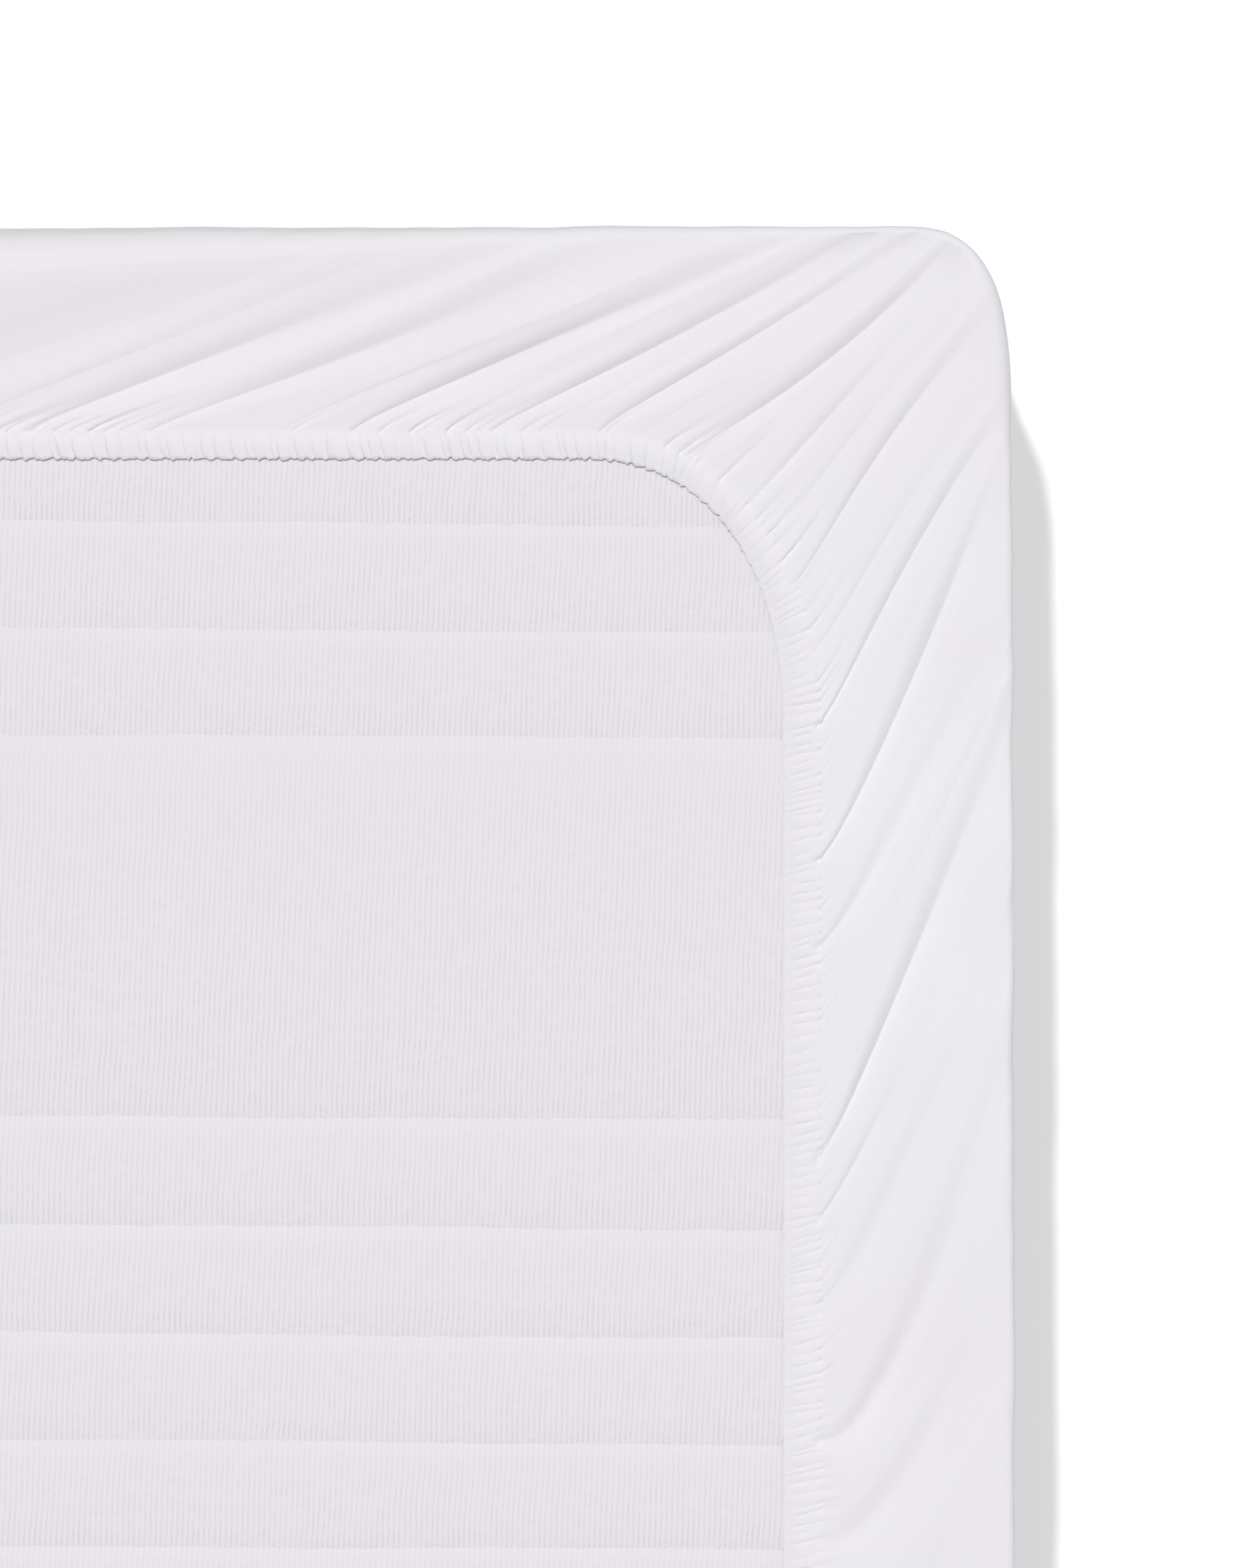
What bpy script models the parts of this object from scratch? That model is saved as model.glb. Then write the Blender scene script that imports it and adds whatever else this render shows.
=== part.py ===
"""A fitted sheet with a gathered elastic edge, pulled over a single mattress.

The mattress lies sleeping side down, so the open mouth of the sheet looks up.  Units are metres and +Z is
up.  The origin is under the middle of the sheet, on the surface that it rests on.  +X runs across the
mattress and +Y along it.
"""

import math
from collections import namedtuple

import bmesh
import bpy
import numpy as np

OBJECT_NAME = "fitted_sheet"

# The mattress.
MATTRESS_WIDTH = 0.900
MATTRESS_LENGTH = 2.000
MATTRESS_HEIGHT = 0.200
MATTRESS_EDGE_RADIUS = 0.024

# The channels sewn across its ticking: how far each lies from the end, in two zones with a plain one between.
CHANNEL_PITCH = 0.047
FIRST_CHANNEL = 0.036
FIRST_ZONE_CHANNELS = 5
SECOND_ZONE_START = 0.389
CHANNEL_WIDTH = 0.016
CHANNEL_DEPTH = 0.0016
CHANNEL_HALF_LENGTH = 0.366

# The cloth.
CLOTH_THICKNESS = 0.0015
GAP = 0.0003
WRAP = CLOTH_THICKNESS + GAP
FLAP_SLACK = 0.0005
MOUTH_EDGE_RADIUS = 0.015
FLOOR_EDGE_RADIUS = 0.021
WALL_BULGE = 0.0025
FOLD_RUN_DOWN_WALL = 0.060

# The return flap, from the outline of the sheet to the seam of the elastic edge.
RETURN_AT_ENDS = 0.0883
RETURN_AT_SIDES = 0.0835

# The elastic edge.
BAND_WIDTH = 0.0125
BAND_HEIGHT = 0.0034
BAND_PLEAT = 0.0006
BAND_SCALLOP = 0.0009
SEAM_GAP = 0.0008

# Its section, from the seam over its crown to the ticking, as parts of its width and height.
BandPoint = namedtuple("BandPoint", "inward up")
BAND_SECTION = (
    BandPoint(0.00, 0.00),
    BandPoint(0.00, 0.70),
    BandPoint(0.45, 1.00),
    BandPoint(0.86, 0.84),
    BandPoint(1.00, 0.40),
    BandPoint(0.92, 0.00),
)

# Where the columns of the cloth go.
FINEST_COLUMN = 0.0042
WIDEST_COLUMN = 0.036
CLEAR_FOOT = 0.008

# A rounded corner reaches so far across and along before the edge is straight.  A fullness of 2 is an
# ellipse, and a higher one is squarer.
Corner = namedtuple("Corner", "across along fullness")
SHEET_CORNER = Corner(across=0.0476, along=0.0794, fullness=2.7)
SEAM_CORNER = Corner(across=0.1042, along=0.1308, fullness=2.2)
MATTRESS_CORNER = Corner(across=0.0520, along=0.0830, fullness=2.55)

# One tension fold of the flap.  It rises gently from the middle of the short side towards the corner, and
# falls steeply into its crease.
#   seam    where the crease meets the seam, along the seam from the middle of the short side
#   edge    where its line runs out over the edge, along the outline from the same side's middle
#   height  of the crest above the flap
#   rise    length of the gentle side, along the seam
#   fall    length of the steep side, along the seam
#   reach   how much of the way to the edge it keeps its height
Fold = namedtuple("Fold", "seam edge height rise fall reach")
FOLDS = (
    Fold(0.022, 0.245, 0.0022, 0.014, 0.008, 0.9),
    Fold(0.076, 0.296, 0.0020, 0.024, 0.014, 0.3),
    Fold(0.134, 0.331, 0.0026, 0.030, 0.016, 0.5),
    Fold(0.164, 0.367, 0.0048, 0.026, 0.018, 0.9),
    Fold(0.225, 0.388, 0.0052, 0.034, 0.018, 1.0),
    Fold(0.272, 0.407, 0.0042, 0.020, 0.012, 0.9),
    Fold(0.312, 0.424, 0.0052, 0.020, 0.012, 1.0),
    Fold(0.347, 0.436, 0.0030, 0.018, 0.010, 0.8),
    Fold(0.364, 0.446, 0.0028, 0.015, 0.009, 0.7),
    Fold(0.386, 0.464, 0.0050, 0.020, 0.012, 1.0),
    Fold(0.417, 0.491, 0.0034, 0.024, 0.012, 0.9),
    Fold(0.450, 0.507, 0.0052, 0.028, 0.014, 1.0),
    Fold(0.508, 0.528, 0.0052, 0.036, 0.016, 1.0),
    Fold(0.548, 0.590, 0.0030, 0.032, 0.016, 0.7),
    Fold(0.638, 0.636, 0.0056, 0.048, 0.020, 1.0),
    Fold(0.666, 0.698, 0.0030, 0.020, 0.012, 0.7),
    Fold(0.717, 0.737, 0.0026, 0.020, 0.012, 0.6),
    Fold(0.763, 0.809, 0.0036, 0.036, 0.018, 0.8),
    Fold(0.811, 0.920, 0.0024, 0.036, 0.018, 0.7),
    Fold(0.875, 0.993, 0.0026, 0.040, 0.020, 0.7),
    Fold(0.941, 1.072, 0.0020, 0.040, 0.020, 0.6),
    Fold(1.021, 1.164, 0.0022, 0.044, 0.022, 0.6),
    Fold(1.106, 1.269, 0.0016, 0.040, 0.020, 0.5),
)
FOLD_FADE_AT_SIDE_MIDDLE = 0.020
# Past its reach a fold dies away over this part of the way.
FOLD_DIES_OVER = 0.6

# The rows of the flap from its seam to its edge, as parts of that way, with how high the folds stand there.
FlapRow = namedtuple("FlapRow", "way stand")
FLAP_ROWS = (
    FlapRow(0.00, 0.32),
    FlapRow(0.11, 1.00),
    FlapRow(0.34, 0.92),
    FlapRow(0.58, 0.74),
    FlapRow(0.80, 0.54),
    FlapRow(1.00, 0.36),
)

# The four corners are alike but not the same.
#   side, end  which way the corner lies along X and Y
#   drift      how far its folds are pushed along the seam, at most
#   vigour     how high its folds stand
Quarter = namedtuple("Quarter", "side end drift vigour")
QUARTERS = (
    Quarter(side=1, end=1, drift=0.000, vigour=1.00),
    Quarter(side=1, end=-1, drift=0.006, vigour=0.94),
    Quarter(side=-1, end=-1, drift=-0.005, vigour=0.98),
    Quarter(side=-1, end=1, drift=0.004, vigour=0.90),
)
DRIFT_WAVE = 0.190

PATH_STEPS = 1200
CORNER_FACETS = 9
EDGE_SEGMENTS = 3

Finish = namedtuple("Finish", "name colour roughness")
COTTON = Finish("white_cotton", (0.86, 0.85, 0.87), 0.85)
BINDING = Finish("gathered_cotton", (0.87, 0.86, 0.88), 0.85)
TICKING = Finish("ribbed_ticking", (0.83, 0.81, 0.83), 0.90)


def smooth(value):
    """Ease from 0 to 1 as the value goes from 0 to 1."""
    value = np.clip(value, 0.0, 1.0)
    return value * value * (3.0 - 2.0 * value)


def corner_points(half_width, half_length, corner, turns):
    """Points of one rounded corner, at turns from 0 at its end side to a quarter at its long side."""
    angles = math.pi / 2 - np.asarray(turns)
    power = 2.0 / corner.fullness
    across = half_width - corner.across * (1.0 - np.clip(np.cos(angles), 0.0, 1.0) ** power)
    along = half_length - corner.along * (1.0 - np.clip(np.sin(angles), 0.0, 1.0) ** power)
    return np.column_stack([across, along])


class QuarterPath:
    """A rounded outline's first quarter, from the middle of its short side to the middle of its long one."""

    def __init__(self, half_width, half_length, corner):
        turned = corner_points(half_width, half_length, corner, np.linspace(0.0, math.pi / 2, PATH_STEPS))
        points = np.vstack([[0.0, half_length], turned, [half_width, 0.0]])
        steps = np.diff(points, axis=0)
        lengths = np.hypot(steps[:, 0], steps[:, 1])
        kept = lengths > 1e-9
        self.points = np.vstack([points[:-1][kept], points[-1:]])
        self.arcs = np.concatenate([[0.0], np.cumsum(lengths[kept])])
        self.length = self.arcs[-1]
        middles = (self.arcs[:-1] + self.arcs[1:]) / 2
        outward = np.column_stack([-steps[kept][:, 1], steps[kept][:, 0]]) / lengths[kept][:, None]
        self.normal_arcs = middles
        self.normals = outward

    def point(self, arcs):
        """Places at these distances along the path."""
        return np.column_stack([np.interp(arcs, self.arcs, self.points[:, axis]) for axis in (0, 1)])

    def normal(self, arcs):
        """Outward unit normals at these distances along the path."""
        found = np.column_stack([np.interp(arcs, self.normal_arcs, self.normals[:, axis]) for axis in (0, 1)])
        return found / np.linalg.norm(found, axis=1)[:, None]


OUTLINE = QuarterPath(MATTRESS_WIDTH / 2 + WRAP, MATTRESS_LENGTH / 2 + WRAP, SHEET_CORNER)
SEAM = QuarterPath(
    MATTRESS_WIDTH / 2 + WRAP - RETURN_AT_SIDES,
    MATTRESS_LENGTH / 2 + WRAP - RETURN_AT_ENDS,
    SEAM_CORNER,
)


def folds_of(quarter):
    """The folds of one corner, pushed along the seam by its own drift."""
    return [
        fold._replace(
            seam=fold.seam + quarter.drift * math.sin(fold.seam / DRIFT_WAVE),
            height=fold.height * quarter.vigour,
        )
        for fold in FOLDS
    ]


def fold_relief(folds, seam_arcs, way):
    """How far the folds lift the cloth, on the lines that start at these places of the seam."""
    lift = np.zeros_like(seam_arcs)
    for fold in folds:
        before = fold.seam - seam_arcs
        rising = smooth((fold.rise + fold.fall - before) / fold.rise)
        falling = smooth(before / fold.fall)
        kept = 1.0 - smooth((way - fold.reach) / FOLD_DIES_OVER)
        lift += fold.height * rising * falling * kept
    at_middles = smooth(seam_arcs / FOLD_FADE_AT_SIDE_MIDDLE)
    at_middles *= smooth((SEAM.length - seam_arcs) / FOLD_FADE_AT_SIDE_MIDDLE)
    return lift * at_middles


def column_places(folds):
    """Places along the seam where columns of the cloth start: creases, crests and clear feet."""
    lines = [fold.seam for fold in folds] + [fold.seam - fold.fall for fold in folds]
    places = [0.0]
    for line in sorted(lines):
        if line - places[-1] > FINEST_COLUMN:
            places.append(line)
    places.append(SEAM.length)
    for foot in (fold.seam - fold.fall - fold.rise for fold in folds):
        if min(abs(foot - place) for place in places) > CLEAR_FOOT:
            places = sorted(places + [foot])
    filled = [0.0]
    for place in places[1:]:
        start = filled[-1]
        parts = math.ceil((place - start) / WIDEST_COLUMN)
        filled += [start + (place - start) * (part + 1) / parts for part in range(parts)]
    return np.array(filled)


class Columns:
    """The columns of the cloth round the whole mouth, each on one fold line from the seam to the edge."""

    def __init__(self):
        seam, seam_normal, edge, edge_normal, self.lifts = [], [], [], [], []
        for index, quarter in enumerate(QUARTERS):
            folds = folds_of(quarter)
            starts = column_places(folds)
            knots = [0.0] + [fold.seam for fold in folds] + [SEAM.length]
            ends = [0.0] + [fold.edge for fold in folds] + [OUTLINE.length]
            edge_arcs = np.interp(starts, knots, ends)
            order = slice(0, -1) if index % 2 == 0 else slice(-1, 0, -1)
            flip = np.array([quarter.side, quarter.end])
            seam.append((SEAM.point(starts) * flip)[order])
            seam_normal.append((SEAM.normal(starts) * flip)[order])
            edge.append((OUTLINE.point(edge_arcs) * flip)[order])
            edge_normal.append((OUTLINE.normal(edge_arcs) * flip)[order])
            self.lifts.append((folds, starts[order]))
        self.seam = np.vstack(seam)
        self.seam_normal = np.vstack(seam_normal)
        self.edge = np.vstack(edge)
        self.edge_normal = np.vstack(edge_normal)
        self.count = len(self.seam)

    def lift(self, way):
        """How far the folds lift each column at this part of the way from the seam to the edge."""
        return np.concatenate([fold_relief(folds, starts, way) for folds, starts in self.lifts])


def ring(flat, heights):
    """Join places in plan and their heights into one row of points."""
    return np.column_stack([flat, np.broadcast_to(heights, len(flat))])


def sheet_rows(columns):
    """The outside of the cloth as rows of points, from the seam over the edge and down to the floor."""
    top = MATTRESS_HEIGHT + 2 * WRAP + FLAP_SLACK
    normal = columns.edge_normal
    flap_end = columns.edge - normal * (MOUTH_EDGE_RADIUS + WALL_BULGE)
    rows = []
    for row in FLAP_ROWS:
        place = columns.seam + (flap_end - columns.seam) * row.way
        rows.append(ring(place, top + row.stand * columns.lift(row.way)))
    at_edge = FLAP_ROWS[-1].stand * columns.lift(1.0)
    for step in range(1, EDGE_SEGMENTS + 1):
        angle = math.pi / 2 * step / EDGE_SEGMENTS
        fade = 1.0 - smooth(MOUTH_EDGE_RADIUS * angle / FOLD_RUN_DOWN_WALL)
        out = MOUTH_EDGE_RADIUS * math.sin(angle) + at_edge * fade * math.sin(angle)
        drop = MOUTH_EDGE_RADIUS * (1.0 - math.cos(angle)) - at_edge * fade * math.cos(angle)
        rows.append(ring(flap_end + normal * out[:, None], top - drop))
    rows.append(ring(columns.edge, top / 2))
    floor_end = columns.edge - normal * (FLOOR_EDGE_RADIUS + WALL_BULGE)
    for step in range(EDGE_SEGMENTS):
        angle = math.pi / 2 * step / (EDGE_SEGMENTS - 1)
        rows.append(
            ring(
                floor_end + normal * FLOOR_EDGE_RADIUS * math.cos(angle),
                FLOOR_EDGE_RADIUS * (1.0 - math.sin(angle)),
            )
        )
    return rows


def band_rows(columns):
    """The section of the elastic edge, carried round the mouth with its pleats."""
    base = MATTRESS_HEIGHT + WRAP + GAP
    pleat = np.where(np.arange(columns.count) % 2 == 0, 1.0, -1.0)
    width = BAND_WIDTH - SEAM_GAP + BAND_SCALLOP * pleat
    height = BAND_HEIGHT + BAND_PLEAT * pleat
    rows = []
    for corner in BAND_SECTION:
        inward = SEAM_GAP + corner.inward * width
        rows.append(ring(columns.seam - columns.seam_normal * inward[:, None], base + corner.up * height))
    return rows


def loft(name, rows, cap_first=False, cap_last=False, close=False):
    """Join rows of points into a mesh; a closed loft also joins its last row to its first."""
    points = np.vstack(rows)
    size = len(rows[0])
    joined = len(rows) if close else len(rows) - 1
    faces = []
    for row in range(joined):
        here, there = row * size, (row + 1) % len(rows) * size
        for column in range(size):
            after = (column + 1) % size
            faces.append((here + column, there + column, there + after, here + after))
    if cap_first:
        faces.append(tuple(reversed(range(size))))
    if cap_last:
        last = (len(rows) - 1) * size
        faces.append(tuple(range(last, last + size)))
    mesh = bpy.data.meshes.new(name)
    mesh.from_pydata(points.tolist(), [], faces)
    turn_outward(mesh)
    return mesh


def turn_outward(mesh):
    """Make the faces of a mesh point out."""
    shape = bmesh.new()
    shape.from_mesh(mesh)
    bmesh.ops.recalc_face_normals(shape, faces=shape.faces)
    shape.to_mesh(mesh)
    shape.free()


def material(finish):
    """Make the material of a finish."""
    made = bpy.data.materials.new(finish.name)
    made.use_nodes = True
    shader = made.node_tree.nodes["Principled BSDF"]
    shader.inputs["Base Color"].default_value = (*finish.colour, 1.0)
    shader.inputs["Roughness"].default_value = finish.roughness
    shader.inputs["Metallic"].default_value = 0.0
    return made


def add_object(name, mesh, collection, finish=None):
    """Put a mesh into a collection as a named object."""
    made = bpy.data.objects.new(name, mesh)
    collection.objects.link(made)
    if finish:
        mesh.materials.append(material(finish))
        mesh.shade_smooth()
    return made


def build_sheet(columns, collection):
    """The cloth itself: one shell from its seam, over the edge, down the walls and across the floor side."""
    sheet = add_object("sheet", loft("sheet", sheet_rows(columns), cap_last=True), collection, COTTON)
    shell = sheet.modifiers.new("cloth_thickness", "SOLIDIFY")
    shell.thickness = CLOTH_THICKNESS
    shell.offset = -1.0
    shell.use_even_offset = True
    shell.use_quality_normals = True
    return sheet


def build_elastic_edge(columns, collection):
    """The strip that is sewn round the mouth and gathered by its elastic."""
    mesh = loft("elastic_edge", band_rows(columns), close=True)
    return add_object("elastic_edge", mesh, collection, BINDING)


def mattress_outline(inset):
    """The mattress seen from above, once round, as it is where its wall stands in by this much."""
    turns = np.linspace(0.0, math.pi / 2, CORNER_FACETS)
    half_width, half_length = MATTRESS_WIDTH / 2 - inset, MATTRESS_LENGTH / 2 - inset
    quarter = corner_points(half_width, half_length, MATTRESS_CORNER, turns)
    return np.vstack([
        quarter,
        (quarter * (1, -1))[::-1],
        quarter * (-1, -1),
        (quarter * (-1, 1))[::-1],
    ])


def channel_places():
    """Where the channels lie along the mattress, from one end to the other."""
    first = [FIRST_CHANNEL + CHANNEL_PITCH * count for count in range(FIRST_ZONE_CHANNELS)]
    second_count = round((MATTRESS_LENGTH / 2 - SECOND_ZONE_START) / CHANNEL_PITCH)
    second = [SECOND_ZONE_START + CHANNEL_PITCH * count for count in range(second_count)]
    half = [MATTRESS_LENGTH / 2 - place for place in first + second]
    return half + [0.0] + [-place for place in reversed(half)]


def build_channel_cutter(top, collection):
    """One shallow bar, four-sided and lying on its edge, for each channel."""
    shape = bmesh.new()
    for place in channel_places():
        bar = bmesh.ops.create_cone(
            shape,
            cap_ends=True,
            segments=4,
            radius1=1.0,
            radius2=1.0,
            depth=2 * CHANNEL_HALF_LENGTH,
        )["verts"]
        for vert in bar:
            side, up, along = vert.co
            vert.co = (along, place + side * CHANNEL_WIDTH / 2, top + up * CHANNEL_DEPTH)
    mesh = bpy.data.meshes.new("channel_cutter")
    bmesh.ops.recalc_face_normals(shape, faces=shape.faces)
    shape.to_mesh(mesh)
    shape.free()
    cutter = add_object("channel_cutter", mesh, collection)
    cutter.hide_render = True
    cutter.display_type = "WIRE"
    return cutter


def build_mattress(collection, cutters):
    """The plain mattress, with rounded edges and the channels of its ticking on the side that shows."""
    lean = WALL_BULGE * MATTRESS_HEIGHT / (MATTRESS_HEIGHT + 2 * WRAP - 2 * FLOOR_EDGE_RADIUS)
    rows = [
        ring(mattress_outline(lean), WRAP),
        ring(mattress_outline(0.0), WRAP + MATTRESS_HEIGHT / 2),
        ring(mattress_outline(lean), WRAP + MATTRESS_HEIGHT),
    ]
    mesh = loft("mattress", rows, cap_first=True, cap_last=True)
    mattress = add_object("mattress", mesh, collection, TICKING)
    rounding = mattress.modifiers.new("rounded_edges", "BEVEL")
    rounding.width = MATTRESS_EDGE_RADIUS
    rounding.segments = EDGE_SEGMENTS
    rounding.limit_method = "ANGLE"
    rounding.angle_limit = math.radians(60)
    rounding.use_clamp_overlap = False
    cut = mattress.modifiers.new("channels", "BOOLEAN")
    cut.operation = "DIFFERENCE"
    cut.solver = "EXACT"
    cut.object = build_channel_cutter(WRAP + MATTRESS_HEIGHT, cutters)
    return mattress


def new_collection(name):
    """Make a collection in the scene."""
    made = bpy.data.collections.new(name)
    bpy.context.scene.collection.children.link(made)
    return made


def main():
    """Clear the scene and build the sheet on its mattress."""
    for old in list(bpy.data.objects):
        bpy.data.objects.remove(old, do_unlink=True)
    parts = new_collection(OBJECT_NAME)
    cutters = new_collection("cutters")
    columns = Columns()
    build_mattress(parts, cutters)
    build_sheet(columns, parts)
    build_elastic_edge(columns, parts)


main()
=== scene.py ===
"""The looks of a fitted sheet pulled over a mattress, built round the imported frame.

The mattress lies sleeping side down, so the return flap, the gathered elastic band and the ribbed ticking
inside it look up at the camera.  Units are metres, +Z is up, +X runs across the mattress and +Y along it.
"""

import logging
import math
import random
from collections.abc import Callable
from dataclasses import dataclass, field, replace
from enum import Enum

import bmesh
import bpy
import numpy as np
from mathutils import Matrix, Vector


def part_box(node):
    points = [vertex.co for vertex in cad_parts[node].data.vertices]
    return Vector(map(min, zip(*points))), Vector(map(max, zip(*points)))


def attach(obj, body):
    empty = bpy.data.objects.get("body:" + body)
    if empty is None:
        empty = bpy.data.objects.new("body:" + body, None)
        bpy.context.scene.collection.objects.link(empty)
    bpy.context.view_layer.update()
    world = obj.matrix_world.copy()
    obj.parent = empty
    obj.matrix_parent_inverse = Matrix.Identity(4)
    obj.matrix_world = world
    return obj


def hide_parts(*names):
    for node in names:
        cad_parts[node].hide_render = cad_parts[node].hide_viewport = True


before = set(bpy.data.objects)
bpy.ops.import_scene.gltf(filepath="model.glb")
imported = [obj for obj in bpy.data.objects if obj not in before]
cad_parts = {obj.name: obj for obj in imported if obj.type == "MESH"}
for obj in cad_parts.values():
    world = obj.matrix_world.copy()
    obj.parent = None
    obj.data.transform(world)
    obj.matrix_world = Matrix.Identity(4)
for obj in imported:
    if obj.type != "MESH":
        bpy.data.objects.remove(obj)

LOG = logging.getLogger("fitted_sheet")
MM = 0.001
SHARP_ANGLE = 50.0
WHITE = (1.0, 1.0, 1.0)

Colour = tuple[float, float, float]
Numbers = np.ndarray | float


def eased(places: Numbers, start: Numbers, over: float) -> Numbers:
    """Ease from 0 to 1 along a line.

    Args:
        places: Distances along the line.
        start: Where the result leaves 0.
        over: The distance from there to where it reaches 1.

    Returns:
        The eased number at each place.
    """
    share = np.clip((places - start) / over, 0.0, 1.0)
    return share * share * (3.0 - 2.0 * share)


def between(first: Numbers, last: Numbers, share: Numbers) -> Numbers:
    """A number that goes from the first to the last as the share goes from 0 to 1."""
    return first + (last - first) * share


def faded(places: Numbers, start: float, end: float, over: float) -> Numbers:
    """Ease from 0 to 1 after a start, and back to 0 before an end."""
    return eased(places - start, 0.0, over) * eased(end - places, 0.0, over)


def bell(places: Numbers, middle: float, reach: float) -> Numbers:
    """A bell that is 1 at its middle and has faded at its reach from there."""
    return np.exp(-(((places - middle) / reach) ** 2))


def waves(places: np.ndarray, longest: float, count: int, seed: int) -> np.ndarray:
    """A gentle uneven wave, from -1 to 1, along a line.

    Args:
        places: Distances along the line.
        longest: The longest wavelength in it.
        count: How many waves it is made of.
        seed: Which of the many such waves it is.

    Returns:
        The wave's height at each place.
    """
    weaker, shorter = 0.72, 0.61
    stretched = (0.9, 1.1)
    dice = random.Random(seed)
    total = np.zeros_like(places)
    weight = 0.0
    for octave in range(count):
        share = weaker**octave
        length = longest * shorter**octave * dice.uniform(*stretched)
        total += share * np.sin(places * 2 * math.pi / length + dice.uniform(0.0, 2 * math.pi))
        weight += share
    return total / weight


# Shader maths


class Maths(Enum):
    """The sums that a Math node can do here."""

    ADD = "ADD"
    SUBTRACT = "SUBTRACT"
    MULTIPLY = "MULTIPLY"
    DIVIDE = "DIVIDE"
    SINE = "SINE"
    FLOOR = "FLOOR"
    FRACTION = "FRACT"
    ABSOLUTE = "ABSOLUTE"
    LOWER = "MINIMUM"
    HIGHER = "MAXIMUM"


class SurfaceMap(Enum):
    """The flat maps that the pieces carry, in metres."""

    CLOTH = "cloth_map"
    PANEL = "panel_map"


class Value:
    """A number in a material, so that shader maths reads as Python."""

    def __init__(self, plan: "NodePlan", socket: bpy.types.NodeSocket) -> None:
        """Hold a socket of the plan's node tree."""
        self.plan = plan
        self.socket = socket

    def combine(self, sum_kind: Maths, *others: "Value | float", first: bool = True) -> "Value":
        """Add a Math node.

        Args:
            sum_kind: What the node works out.
            others: The other numbers in the sum.
            first: Whether this value comes before the others.

        Returns:
            The result.
        """
        terms = [self, *others] if first else [*others, self]
        node = self.plan.node("ShaderNodeMath", {"operation": sum_kind.value}, dict(enumerate(terms)))
        return Value(self.plan, node.outputs[0])

    def __add__(self, other: "Value | float") -> "Value":
        """This plus another."""
        return self.combine(Maths.ADD, other)

    def __radd__(self, other: float) -> "Value":
        """A number plus this."""
        return self.combine(Maths.ADD, other, first=False)

    def __sub__(self, other: "Value | float") -> "Value":
        """This less another."""
        return self.combine(Maths.SUBTRACT, other)

    def __rsub__(self, other: float) -> "Value":
        """A number less this."""
        return self.combine(Maths.SUBTRACT, other, first=False)

    def __mul__(self, other: "Value | float") -> "Value":
        """This times another."""
        return self.combine(Maths.MULTIPLY, other)

    def __rmul__(self, other: float) -> "Value":
        """A number times this."""
        return self.combine(Maths.MULTIPLY, other, first=False)

    def __truediv__(self, other: "Value | float") -> "Value":
        """This over another."""
        return self.combine(Maths.DIVIDE, other)

    def __rtruediv__(self, other: float) -> "Value":
        """A number over this."""
        return self.combine(Maths.DIVIDE, other, first=False)

    def __abs__(self) -> "Value":
        """This without its sign."""
        return self.combine(Maths.ABSOLUTE)

    def sine(self) -> "Value":
        """The sine of this angle."""
        return self.combine(Maths.SINE)

    def whole(self) -> "Value":
        """The whole part."""
        return self.combine(Maths.FLOOR)

    def part(self) -> "Value":
        """The part after the point."""
        return self.combine(Maths.FRACTION)

    def off_middle(self) -> "Value":
        """How far the part after the point is from a half: 0 there, and 1 at the whole numbers."""
        return abs(self.part() * 2.0 - 1.0)

    def at_most(self, limit: "Value | float") -> "Value":
        """The lower of this and a limit."""
        return self.combine(Maths.LOWER, limit)

    def at_least(self, limit: "Value | float") -> "Value":
        """The higher of this and a limit."""
        return self.combine(Maths.HIGHER, limit)

    def eased(self, start: float, end: float) -> "Value":
        """Ease from 0 to 1 as this goes from start to end.

        Args:
            start: Where the result is 0.
            end: Where the result is 1.

        Returns:
            The eased value.
        """
        node = self.plan.node(
            "ShaderNodeMapRange",
            {"interpolation_type": "SMOOTHSTEP"},
            {"Value": self, "From Min": start, "From Max": end},
        )
        return Value(self.plan, node.outputs[0])


Term = Value | bpy.types.NodeSocket | float | tuple


class NodePlan:
    """A node tree while its nodes are put together."""

    def __init__(self, tree: bpy.types.NodeTree) -> None:
        """Hold the tree."""
        self.tree = tree

    def feed(self, node: bpy.types.Node, name: str | int, term: Term) -> None:
        """Link a term to a socket of a node, or set the socket to it.

        Args:
            node: The node.
            name: The socket's name or number.
            term: A value, a socket, a number, or a tuple for a colour or a vector.
        """
        if isinstance(term, Value):
            term = term.socket
        if isinstance(term, bpy.types.NodeSocket):
            self.tree.links.new(term, node.inputs[name])
        else:
            node.inputs[name].default_value = term

    def node(
        self,
        kind: str,
        settings: dict[str, object] | None = None,
        inputs: dict[str | int, Term] | None = None,
    ) -> bpy.types.Node:
        """Add one node.

        Args:
            kind: The node's type.
            settings: Its own settings, which are set first.
            inputs: The values or links of its sockets.

        Returns:
            The node.
        """
        made = self.tree.nodes.new(kind)
        for name, value in (settings or {}).items():
            setattr(made, name, value)
        for name, term in (inputs or {}).items():
            self.feed(made, name, term)
        return made

    def parts(self, place: bpy.types.NodeSocket) -> tuple[Value, Value, Value]:
        """The three numbers of a vector."""
        split = self.node("ShaderNodeSeparateXYZ", inputs={0: place})
        return Value(self, split.outputs[0]), Value(self, split.outputs[1]), Value(self, split.outputs[2])


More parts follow.
